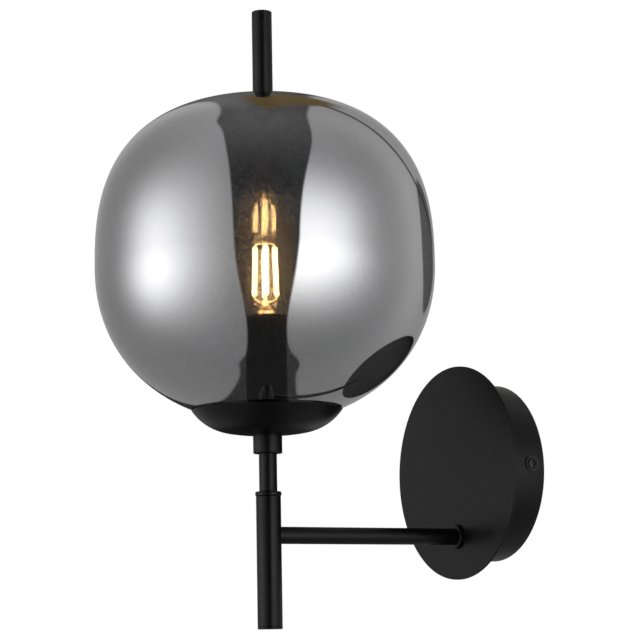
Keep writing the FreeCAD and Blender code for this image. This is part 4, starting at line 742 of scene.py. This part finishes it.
def bore_cutter(radius, start, end):
    """Round cutter between two points."""
    way = Vector(end) - Vector(start)
    outline = [(0, 0), (radius, 0), (radius, way.length), (0, way.length)]
    builder = bmesh.new()
    spin(builder, outline, closed=False, steps=64)
    return mesh_object("cutter", builder, facing(start, way))


class SCONCE_OT_wall_plate(bpy.types.Operator):
    """Round canopy on the wall, and the flat disc in front of it"""
    bl_idname = "sconce.wall_plate"
    bl_label = "Canopy and Disc"

    def execute(self, context):
        settings = context.scene.sconce_wall_plate
        depth = depth_of("canopy_box")[1]
        radius, wall = settings.canopy_radius, settings.canopy_wall
        bore = radius - wall
        outline = [(bore, 0, 0.15 * MM), (radius, 0, 0.25 * MM), (radius, depth, settings.canopy_edge)]
        outline += [(0, depth, 0), (0, depth - wall, 0), (bore, depth - wall, 0.4 * MM)]
        place = facing((0, 0, 0), FORWARD)
        canopy = lathed("canopy_shell", filleted(outline), place, black_coat(), PLATE_STEPS)
        cutters = []
        for side in SIDES:
            seat = screw_place(side)
            inside, outside = side * (radius - 6 * MM), side * (radius + 4 * MM)
            ends = [(reach, seat.y, seat.z) for reach in (inside, outside)]
            cutters.append(bore_cutter(settings.screw_hole, *ends))
        arm = context.scene.sconce_arm.radius + 0.05 * MM
        cutters.append(bore_cutter(arm, (0, -depth - 1 * MM, ARM_Z), (0, 3 * MM - depth, ARM_Z)))
        cut_from(canopy, cutters)
        stand_for(canopy, "canopy_box")
        radius, edge = settings.disc_radius, settings.disc_edge
        back, depth = depth_of("front_disc")
        outline = filleted([(0, 0, 0), (radius, 0, edge), (radius, depth, edge), (0, depth, 0)])
        disc = lathed("front_plate", outline, facing((0, back, 0), FORWARD), black_coat(), PLATE_STEPS)
        cut_from(disc, [bore_cutter(arm, (0, back + 1 * MM, ARM_Z), (0, back - depth - 1 * MM, ARM_Z))])
        stand_for(disc, "front_disc")
        return {"FINISHED"}


def skinned(builder, rings):
    """Adds a closed skin over rings of points to a builder."""
    rings = [[builder.verts.new(place) for place in ring] for ring in rings]
    for low, high in zip(rings, rings[1:]):
        for n in range(len(low)):
            following = (n + 1) % len(low)
            builder.faces.new([low[n], low[following], high[following], high[n]])
    builder.faces.new(rings[0][::-1])
    builder.faces.new(rings[-1])


def cross_rings(settings):
    """Points of a tapered cross for a recess, narrower towards its floor."""
    top = settings.head_height
    rings = []
    for height, scale in ((top - settings.recess_depth, 0.5), (top + 0.5 * MM, 1.15)):
        reach = settings.recess_reach * scale
        half = settings.recess_width / 2 * (0.7 + 0.3 * scale)
        arm = [(reach, -half), (reach, half), (half, half)]
        turns = [Matrix.Rotation(math.radians(90) * quarter, 2) for quarter in range(4)]
        rings.append([(*(turn @ Vector(point)), height) for turn in turns for point in arm])
    return rings


def thread_rings(settings, low, high, steps=40, rings_per_pitch=12):
    """Points of a threaded bar's rings, whose crest climbs once a pitch."""
    depth = 0.35 * settings.pitch
    count = math.ceil((high - low) / settings.pitch * rings_per_pitch)
    rings = []
    for n in range(count + 1):
        height = low + (high - low) * n / count
        ring = []
        for k in range(steps):
            angle = 2 * math.pi * k / steps
            phase = height / settings.pitch - k / steps
            radius = settings.shank_radius - depth * abs((phase % 1) * 2 - 1)
            ring.append((radius * math.cos(angle), radius * math.sin(angle), height))
        rings.append(ring)
    return rings


class SCONCE_OT_side_screws(bpy.types.Operator):
    """Domed cross-recess screws and washers at the canopy's sides"""
    bl_idname = "sconce.side_screws"
    bl_label = "Side Screws"

    def execute(self, context):
        settings = context.scene.sconce_side_screws
        black = plated("blackened_screw", (0.035, 0.035, 0.037), 0.36)
        for side, word in SIDES.items():
            seat = facing(screw_place(side), (side, 0, 0))
            rim = settings.head_height - settings.head_rise
            outline = [(0, 0), (settings.head_radius, 0), (settings.head_radius, rim)]
            for n in range(15, -1, -1):
                out = n / 16
                outline.append((settings.head_radius * out, rim + settings.head_rise * (1 - out ** 2)))
            head = lathed("screw_head_" + word, outline, Matrix.Identity(4), black, SCREW_STEPS)
            cross = bmesh.new()
            skinned(cross, cross_rings(settings))
            cut_from(head, [mesh_object("cutter", cross, Matrix.Identity(4))])
            builder = bmesh.new()
            builder.from_mesh(head.data)
            skinned(builder, thread_rings(settings, -settings.shank_length, 0.3 * MM))
            bpy.data.objects.remove(head)
            screw = mesh_object("side_screw_domed_" + word, builder, seat, black)
            stand_for(screw, "side_screw_" + word)
            washer = "side_washer_" + word
            size = high_of(washer) - low_of(washer)
            bore = settings.shank_radius + 0.05 * MM
            ring = tube_outline(size.z / 2, bore, -size.x, -settings.washer_gap, 0.2 * MM)
            turned("side_screw_washer_" + word, washer, ring, seat, black, SCREW_STEPS)
        return {"FINISHED"}


# --- Holder and bulb

class SCONCE_OT_holder(bpy.types.Operator):
    """Sleeve over the lampholder, and the finishes of the holder's pieces"""
    bl_idname = "sconce.holder"
    bl_label = "Lampholder"

    def execute(self, context):
        settings = context.scene.sconce_holder
        radius = settings.sleeve_radius
        piped("holder_sleeve", "candle_sleeve", radius, radius - settings.sleeve_wall, 0.3 * MM)
        dress(moulded("black_phenolic", (0.018, 0.017, 0.017), 0.3), "lampholder_body")
        dress(turned_brass(), "threaded_shell", "centre_contact", "terminal_posts")
        dress(zinc_plate(), "lampholder_base", "lampholder_screw", "post_screws")
        return {"FINISHED"}


def bulb_glass():
    """Thin clear glass of the bulb, with a faint warm painted glow that stands in for the light of the
    filaments.
    """
    glass, new = finish(
        "bulb_clear_glass", (0.985, 0.985, 0.98), 0.0, IOR=1.5, Transmission_Weight=1.0,
        Emission_Color=(1, 0.42, 0.13, 1), Emission_Strength=0.03)
    if new:
        add_bump(glass, noise(glass, 18 * MM, detail=1.0), 0.05 * MM, 0.08)
    return glass


def lit_filament(settings):
    """Phosphor coating in clear silicone, white-hot along its middle and amber at its ends."""
    glow, new = finish(
        "lit_filament", (0.95, 0.9, 0.75), 0.4, IOR=1.15, Transmission_Weight=1.0,
        Emission_Strength=settings.glow)
    if new:
        place = add_node(glow.node_tree, "TexCoord").outputs["Generated"]
        along = add_node(glow.node_tree, "SeparateXYZ", Vector=place).outputs["Z"]
        hot = tuple(settings.glow_colour)
        dim = (0.06, 0.02, 0.003)
        warm = tinted(hot, 0.55)
        stops = [(0.0, dim), (0.03, dim), (0.06, warm), (0.12, hot), (0.93, hot), (0.965, warm), (0.99, dim)]
        blend_colours(glow, along, stops, "Emission Color")
        add_bump(glow, texture(glow, "TexVoronoi", 0.5 * MM), 0.1 * MM, 0.4)
    return glow


def bulb_skin(settings, foot, inset):
    """Points of one skin of the bulb, from its neck to its tip."""
    widest_z = foot + settings.widest
    neck = Vector((settings.neck_radius - inset, foot))
    lower = Vector((settings.radius - settings.belly_round, widest_z))
    upper = Vector((settings.radius - settings.side_round, widest_z))
    reach = math.sqrt((settings.side_round - settings.tip_round) ** 2 - upper.x ** 2)
    tip_centre = Vector((0, widest_z + reach))
    ring = settings.belly_round - inset
    along = ring ** 2 / (neck - lower).length
    belly = max(on_circle(lower, ring, neck, along), key=lambda point: point.x)
    widest = Vector((settings.radius - inset, widest_z))
    shoulder = upper + (tip_centre - upper).normalized() * (settings.side_round - inset)
    tip = tip_centre + Vector((0, settings.tip_round - inset))
    points = [neck.lerp(belly, n / 6) for n in range(6)]
    points += arc_points(belly, widest, lower, 24)
    points += arc_points(widest, shoulder, upper, 40)[1:]
    points += arc_points(shoulder, tip, tip_centre, 8)[1:-1]
    return points + [Vector((0, tip.y))]


def filament_ends(settings, foot, number):
    """Lower and upper end of one of the four filaments."""
    angle = settings.filament_turn + math.radians(90) * number
    outward = Vector((math.cos(angle), math.sin(angle), 0))
    low = raised(outward * settings.low_spread, foot + settings.low_end)
    return low, raised(outward * settings.high_spread, foot + settings.high_end)


def filament_strips(settings, foot, coating, metal):
    """Four coated filaments with a bare metal tab at each end."""
    coated, tab, bare = settings.filament_radius, 0.4 * MM, 0.9 * MM
    end = [(0, 0), (tab, 0), (tab, bare), (0.7 * coated, 1 * MM), (0.93 * coated, 1.3 * MM)]
    builder = bmesh.new()
    for number in range(4):
        low, high = filament_ends(settings, foot, number)
        reach = (high - low).length
        first, last = 1.8 * MM, reach - 1.8 * MM
        waves = [(coated * (1 if n % 2 else 0.965), first + (last - first) * n / 56) for n in range(57)]
        outline = end + waves + [(radius, reach - height) for radius, height in end[::-1]]
        rings = spin(builder, outline, closed=False, steps=24)
        corners = [corner for ring in rings for corner in ring]
        for face in {face for corner in corners for face in corner.link_faces}:
            face.material_index = 0 if bare < face.calc_center_median().z < reach - bare else 1
        bmesh.ops.transform(builder, matrix=facing(low, high - low), verts=corners)
    return mesh_object("filament_strips", builder, ON_LAMP, coating, metal)


def lead_wires(settings, foot, metal):
    """Bent wires from the stem to the filaments, and the post that holds their tops."""
    stem_top = Vector((0, 0, foot + settings.stem_height))
    crown = Vector((0, 0, foot + settings.high_end + 1.1 * MM))
    routes = [[raised(stem_top, -2 * MM), stem_top.lerp(crown, 0.5), crown]]
    for number in range(4):
        low, high = filament_ends(settings, foot, number)
        outward = Vector((low.x, low.y, 0)).normalized()
        start = raised(stem_top + outward * 1.2 * MM, -1.2 * MM)
        elbow = raised(start.lerp(low, 0.6), -1.1 * MM)
        routes.append([start, elbow, raised(low, -0.8 * MM), raised(low, 0.3 * MM)])
        bow = raised(crown.lerp(high, 0.5), 0.7 * MM)
        routes.append([crown, bow, raised(high, 0.7 * MM), raised(high, -0.2 * MM)])
    data = bpy.data.curves.new("lead_wires", "CURVE")
    data.dimensions = "3D"
    data.bevel_depth = settings.lead_radius
    data.bevel_resolution = 3
    data.resolution_u = 8
    for route in routes:
        spline = data.splines.new("NURBS")
        spline.points.add(len(route) - 1)
        for point, place in zip(spline.points, route):
            point.co = (*place, 1)
        spline.order_u = 3
        spline.use_endpoint_u = True
    data.materials.append(metal)
    wires = bpy.data.objects.new("lead_wires", data)
    bpy.context.scene.collection.objects.link(wires)
    wires.matrix_world = ON_LAMP
    return wires


def painted_glow_metal():
    """Thin wire with a warm painted glow that stands in for the light of the filaments."""
    light = (1, 0.55, 0.18, 1)
    return plated("lead_wire", (0.6, 0.57, 0.52), 0.3, Emission_Color=light, Emission_Strength=16.0)


def stem_glass():
    """Pressed glass stem, streaked with a painted glow that stands in for the light of the filaments."""
    glass, new = finish(
        "stem_glass", (0.97, 0.96, 0.93), 0.03, IOR=1.5, Transmission_Weight=1.0, Emission_Strength=9.0)
    if new:
        painted_glow_streaks = noise(glass, 2.2 * MM, (1, 1, 0.35), 4.0)
        stops = [(0.4, (0.02, 0.008, 0.002)), (0.52, (0.35, 0.17, 0.05)), (0.64, (1, 0.62, 0.24))]
        blend_colours(glass, painted_glow_streaks, stops, "Emission Color")
        add_bump(glass, noise(glass, 1.5 * MM, (1, 1, 0.3)), 0.3 * MM, 0.5)
    return glass


class SCONCE_OT_bulb(bpy.types.Operator):
    """Clear candle bulb with lit filaments"""
    bl_idname = "sconce.bulb"
    bl_label = "Bulb"

    def execute(self, context):
        settings = context.scene.sconce_bulb
        foot = low_of("bulb_envelope").z
        outline = bulb_skin(settings, foot, 0) + bulb_skin(settings, foot, settings.wall)[::-1]
        turned("bulb_glass_skin", "bulb_envelope", outline, material=bulb_glass())
        dress(stem_glass(), "bulb_stem")
        strips = filament_strips(settings, foot, lit_filament(settings), painted_glow_metal())
        strips.visible_diffuse = False
        stand_for(strips, "bulb_filaments")
        stand_for(lead_wires(settings, foot, painted_glow_metal()), "bulb_leads")
        dress(plated("nickel_cap", (0.62, 0.6, 0.56), 0.24, (1, 1, 8)), "bulb_cap")
        dress(plated("dull_solder", (0.5, 0.5, 0.5), 0.45), "bulb_contact")
        dress(moulded("black_insulator", (0.01, 0.01, 0.012), 0.15), "bulb_insulator")
        dress(moulded("green_board", (0.02, 0.11, 0.05), 0.4), "bulb_driver")
        return {"FINISHED"}


class SCONCE_OT_fittings(bpy.types.Operator):
    """Finishes of the fittings on the wall and inside the canopy, the tubes and the dish"""
    bl_idname = "sconce.fittings"
    bl_label = "Inner Fittings"

    def execute(self, context):
        dress(
            zinc_plate(), "wall_bracket", "disc_stud", "disc_stud_washer", "disc_stud_nut", "earth_washer",
            "arm_lock_washer", "arm_lock_nut", "dish_lock_washer", "dish_lock_nut", "gallery_spacer",
            "gallery_plate", "clip_rivets", "threaded_nipple", "block_screws", "clamp_screws")
        dress(turned_brass(), "earth_screw", "earth_tag", "terminal_inserts")
        dress(plated("blued_spring", (0.3, 0.31, 0.34), 0.26, (1, 14, 1)), "spring_clips")
        dress(moulded("white_polyamide", (0.78, 0.78, 0.75), 0.42), "terminal_block")
        dress(black_silicone(), "glass_gasket")
        dress(moulded("brown_wire_sleeve", (0.22, 0.09, 0.035), 0.38), "lamp_wires")
        dress(moulded("green_wire_sleeve", (0.12, 0.4, 0.05), 0.38), "earth_wire")
        return {"FINISHED"}


# --- Stage

# Angles are in degrees, round from the camera's side and up from the level.
# A softbox has a slant, a centre, half sizes, its corners' squareness (above, below),
# and the (centre, spread, peak) of each lamp behind its cloth. The cloth's own light
# has a rise with the angle up, and a level.
LEFT_BOX = (0.09, (-93, -3), (75, 74), (3.2, 4), [((-80, -1), (16, 16), 1.74), ((-56, 0), (20, 24), 0.84)])
RIGHT_BOX = (-0.11, (100, -1.5), (77, 73), (2.4, 4), [
    ((53, 3), (13, 11), 0.62), ((26, -3), (26, 21), 2.25), ((123, 8), (16, 31), 0.25)])
CLOTH_LIGHT = (0.06, 0.335)
CEILING_RISE = (math.radians(40), math.radians(86))
CEILING_LIGHT = (0.02, 0.14)
FAR_WALL = ((16, 40), (14, 20))
FAR_WALL_LIGHT = 0.17
WARM_PATCH = ((-6.5, 56), (15, 19), (2, 2), 0.2)
WARM_PATCH_LIGHT = 0.17
DARK_GAP = ((146, 9), (13, 11), (2, 2), 0.08)
DARK_HOOP = (((165, 31), (27.9, 20.9), (2, 2), 0.03), ((167, 29.4), (25.9, 19.3), (2, 2), 0.03))

# Distances over which the floor grows paler, in metres, and its light at both.
FLOOR_FADE = (0.3, 3.2)
FLOOR_GLOW = (0.3, 0.72)

# Place and size of each lamp in metres, and its power in watts.
OVERHEAD_LAMP = ((0.6, -1.2, 2.0), 1.6, 30)
FRONT_LAMP = ((-1.6, -1.8, 0.6), 1.4, 16)


def sum_of(tree, operation, *values):
    """Result of a math node."""
    node = add_node(tree, "Math", *values)
    node.operation = operation
    return node.outputs[0]


def off_centre(tree, across, up, centre, spread, power):
    """Distance of a direction from a centre, in spreads, before its root is taken."""
    parts = []
    for angle, middle, width in zip((across, up), centre, spread):
        offset = sum_of(tree, "SUBTRACT", angle, math.radians(middle))
        offset = sum_of(tree, "ABSOLUTE", sum_of(tree, "DIVIDE", offset, math.radians(width)))
        parts.append(sum_of(tree, "POWER", offset, power))
    return sum_of(tree, "ADD", *parts)


def soft_lobe(tree, across, up, centre, spread):
    """Soft round glow of a lamp behind its cloth."""
    away = off_centre(tree, across, up, centre, spread, 2)
    return sum_of(tree, "EXPONENT", sum_of(tree, "MULTIPLY", away, -0.5))


def box_mask(tree, across, up, centre, half_size, squareness, edge=0.014):
    """One inside a softbox's rounded rectangle, nought outside, with a narrow edge."""
    above = sum_of(tree, "GREATER_THAN", up, math.radians(centre[1]))
    power = sum_of(tree, "MULTIPLY_ADD", above, squareness[0] - squareness[1], squareness[1])
    away = off_centre(tree, across, up, centre, half_size, power)
    reach = sum_of(tree, "POWER", away, sum_of(tree, "DIVIDE", 1.0, power))
    return ranged(tree, reach, 1 + edge, 1 - edge, 0, 1, "SMOOTHSTEP")


def softbox(tree, across, up, slant, centre, half_size, squareness, lamps):
    """Light of one softbox: its cloth, and the (place, spread, peak) glows of the lamps behind it."""
    light = sum_of(tree, "MULTIPLY_ADD", up, *CLOTH_LIGHT)
    for place, spread, peak in lamps:
        glow = soft_lobe(tree, across, up, place, spread)
        light = sum_of(tree, "MULTIPLY_ADD", glow, peak, light)
    leaning = sum_of(tree, "MULTIPLY_ADD", up, slant, across)
    return sum_of(tree, "MULTIPLY", light, box_mask(tree, leaning, up, centre, half_size, squareness))


def darkened(tree, light, mask, share):
    """Light less a share of it where a mask is one."""
    return sum_of(tree, "MULTIPLY", light, sum_of(tree, "MULTIPLY_ADD", mask, -share, 1.0))


def seen_through(tree):
    """One for what the camera sees, bare or through glass, and nought for reflections and light."""
    path = add_node(tree, "LightPath")
    return sum_of(tree, "MAXIMUM", path.outputs["Is Camera Ray"], path.outputs["Is Transmission Ray"])


def studio_world(heading):
    """White background for the camera, and a studio for the lamp's surfaces to mirror."""
    world = bpy.data.worlds.new("studio")
    world.use_nodes = True
    tree = world.node_tree
    place = add_node(tree, "TexCoord").outputs["Generated"]
    turn = add_node(tree, "VectorRotate", Vector=place, Angle=-heading)
    turn.rotation_type = "Z_AXIS"
    x, y, z = add_node(tree, "SeparateXYZ", Vector=turn.outputs["Vector"]).outputs
    across = sum_of(tree, "ARCTAN2", y, x)
    up = sum_of(tree, "ARCSINE", z)
    behind = sum_of(tree, "ARCTAN2", sum_of(tree, "MULTIPLY", y, -1.0), sum_of(tree, "MULTIPLY", x, -1.0))
    left = softbox(tree, across, up, *LEFT_BOX)
    right = softbox(tree, across, up, *RIGHT_BOX)
    ceiling = ranged(tree, up, *CEILING_RISE, *CEILING_LIGHT)
    light = sum_of(tree, "ADD", sum_of(tree, "ADD", left, right), ceiling)
    far_wall = soft_lobe(tree, behind, up, *FAR_WALL)
    light = sum_of(tree, "MULTIPLY_ADD", far_wall, FAR_WALL_LIGHT, light)
    patch = box_mask(tree, behind, up, *WARM_PATCH)
    light = darkened(tree, light, patch, 1.0)
    light = darkened(tree, light, box_mask(tree, across, up, *DARK_GAP), 0.75)
    hoop = sum_of(tree, "SUBTRACT", *(box_mask(tree, across, up, *disc) for disc in DARK_HOOP))
    light = darkened(tree, light, hoop, 0.75)
    seen = seen_through(tree)
    strength = add_node(tree, "Mix", Factor=seen, A=light, B=1.0).outputs["Result"]
    white = add_node(tree, "Background", Color=(1, 1, 1, 1), Strength=strength)
    glow = darkened(tree, sum_of(tree, "MULTIPLY", patch, WARM_PATCH_LIGHT), seen, 1.0)
    warm = add_node(tree, "Background", Color=(1, 0.68, 0.24, 1), Strength=glow)
    both = add_node(tree, "AddShader", white.outputs["Background"], warm.outputs["Background"])
    tree.links.new(both.outputs["Shader"], tree.nodes["World Output"].inputs["Surface"])
    bpy.context.scene.world = world


def pale_floor(settings):
    """Pale floor under the lamp, which keeps its shadow and is whiter far away."""
    builder = bmesh.new()
    bmesh.ops.create_grid(builder, x_segments=1, y_segments=1, size=settings.floor_size / 2)
    paint, _ = finish("floor_paint", (0.86, 0.86, 0.86), 0.9, Emission_Color=(1, 1, 1, 1))
    tree = paint.node_tree
    place = add_node(tree, "TexCoord").outputs["Object"]
    away = add_node(tree, "VectorMath", place)
    away.operation = "LENGTH"
    paler = ranged(tree, away.outputs["Value"], *FLOOR_FADE, *FLOOR_GLOW, "SMOOTHSTEP")
    strength = sum_of(tree, "MULTIPLY", seen_through(tree), paler)
    tree.links.new(strength, shader_of(paint).inputs["Emission Strength"])
    floor = mesh_object("floor", builder, Matrix.Translation((0, 0, settings.floor_height)), paint)
    floor.visible_glossy = False


def soft_lamp(name, place, size, power):
    """Large soft lamp that points at the middle of the object and isn't mirrored."""
    data = bpy.data.lights.new(name, "AREA")
    data.shape = "DISK"
    data.size = size
    data.energy = power
    lamp = bpy.data.objects.new(name, data)
    target = Vector((0, LAMP_Y / 2, 0.05))
    lamp.matrix_world = facing(place, Vector(place) - target)
    lamp.visible_glossy = False
    lamp.visible_transmission = False
    bpy.context.scene.collection.objects.link(lamp)


def stage_camera(settings):
    """Camera at the viewing angle of the picture."""
    side, rise = math.sin(settings.azimuth), -math.sin(settings.pitch)
    level = math.cos(settings.pitch)
    back = Vector((side * level, -math.cos(settings.azimuth) * level, rise))
    right = (-back).cross(Vector((0, 0, 1))).normalized()
    up = right.cross(-back)
    turned_right = right * math.cos(settings.roll) + up * math.sin(settings.roll)
    turned_up = up * math.cos(settings.roll) - right * math.sin(settings.roll)
    axes = Matrix((turned_right, turned_up, back)).transposed().to_4x4()
    data = bpy.data.cameras.new("camera")
    data.lens = settings.lens
    data.sensor_width = 36
    data.clip_end = 100
    camera = bpy.data.objects.new("camera", data)
    camera.matrix_world = Matrix.Translation(settings.place) @ axes
    bpy.context.scene.collection.objects.link(camera)
    bpy.context.scene.camera = camera
    return math.atan2(back.y, back.x)


class SCONCE_OT_stage(bpy.types.Operator):
    """Camera, studio light and floor"""
    bl_idname = "sconce.stage"
    bl_label = "Stage"

    def execute(self, context):
        settings = context.scene.sconce_stage
        context.scene.view_settings.view_transform = "Standard"
        heading = stage_camera(settings)
        studio_world(heading)
        pale_floor(settings)
        soft_lamp("overhead_lamp", *OVERHEAD_LAMP)
        soft_lamp("front_lamp", *FRONT_LAMP)
        return {"FINISHED"}


# --- Panel and start

OPERATORS = (
    SCONCE_OT_stage, SCONCE_OT_globe, SCONCE_OT_rod, SCONCE_OT_dish, SCONCE_OT_stem, SCONCE_OT_arm,
    SCONCE_OT_wall_plate, SCONCE_OT_side_screws, SCONCE_OT_holder, SCONCE_OT_bulb, SCONCE_OT_fittings,
)
GROUPS = (
    SCONCE_PG_finishes, SCONCE_PG_globe, SCONCE_PG_rod, SCONCE_PG_dish, SCONCE_PG_stem, SCONCE_PG_arm,
    SCONCE_PG_wall_plate, SCONCE_PG_side_screws, SCONCE_PG_holder, SCONCE_PG_bulb, SCONCE_PG_stage,
)
SETTINGS = {group.__name__.replace("SCONCE_PG", "sconce"): group for group in GROUPS}


class SCONCE_PT_pieces(bpy.types.Panel):
    """Lists the pieces and their sizes"""
    bl_idname = "SCONCE_PT_pieces"
    bl_label = "Globe Wall Sconce"
    bl_space_type = "VIEW_3D"
    bl_region_type = "UI"
    bl_category = "Sconce"

    def draw(self, context):
        for operator in OPERATORS:
            self.layout.operator(operator.bl_idname)
        for name, group in SETTINGS.items():
            column = self.layout.box().column()
            column.label(text=group.__doc__)
            for key in group.__annotations__:
                column.prop(getattr(context.scene, name), key)


def register():
    """Registers the settings, the operators and the panel."""
    for name, group in SETTINGS.items():
        bpy.utils.register_class(group)
        setattr(bpy.types.Scene, name, PointerProperty(type=group))
    for operator in OPERATORS:
        bpy.utils.register_class(operator)
    bpy.utils.register_class(SCONCE_PT_pieces)


def unregister():
    """Takes the panel, the operators and the settings away again."""
    bpy.utils.unregister_class(SCONCE_PT_pieces)
    for operator in reversed(OPERATORS):
        bpy.utils.unregister_class(operator)
    for name, group in reversed(SETTINGS.items()):
        delattr(bpy.types.Scene, name)
        bpy.utils.unregister_class(group)


def main():
    """Makes every piece."""
    register()
    for operator in OPERATORS:
        getattr(bpy.ops.sconce, operator.bl_idname.partition(".")[2])()


if __name__ == "__main__":
    main()
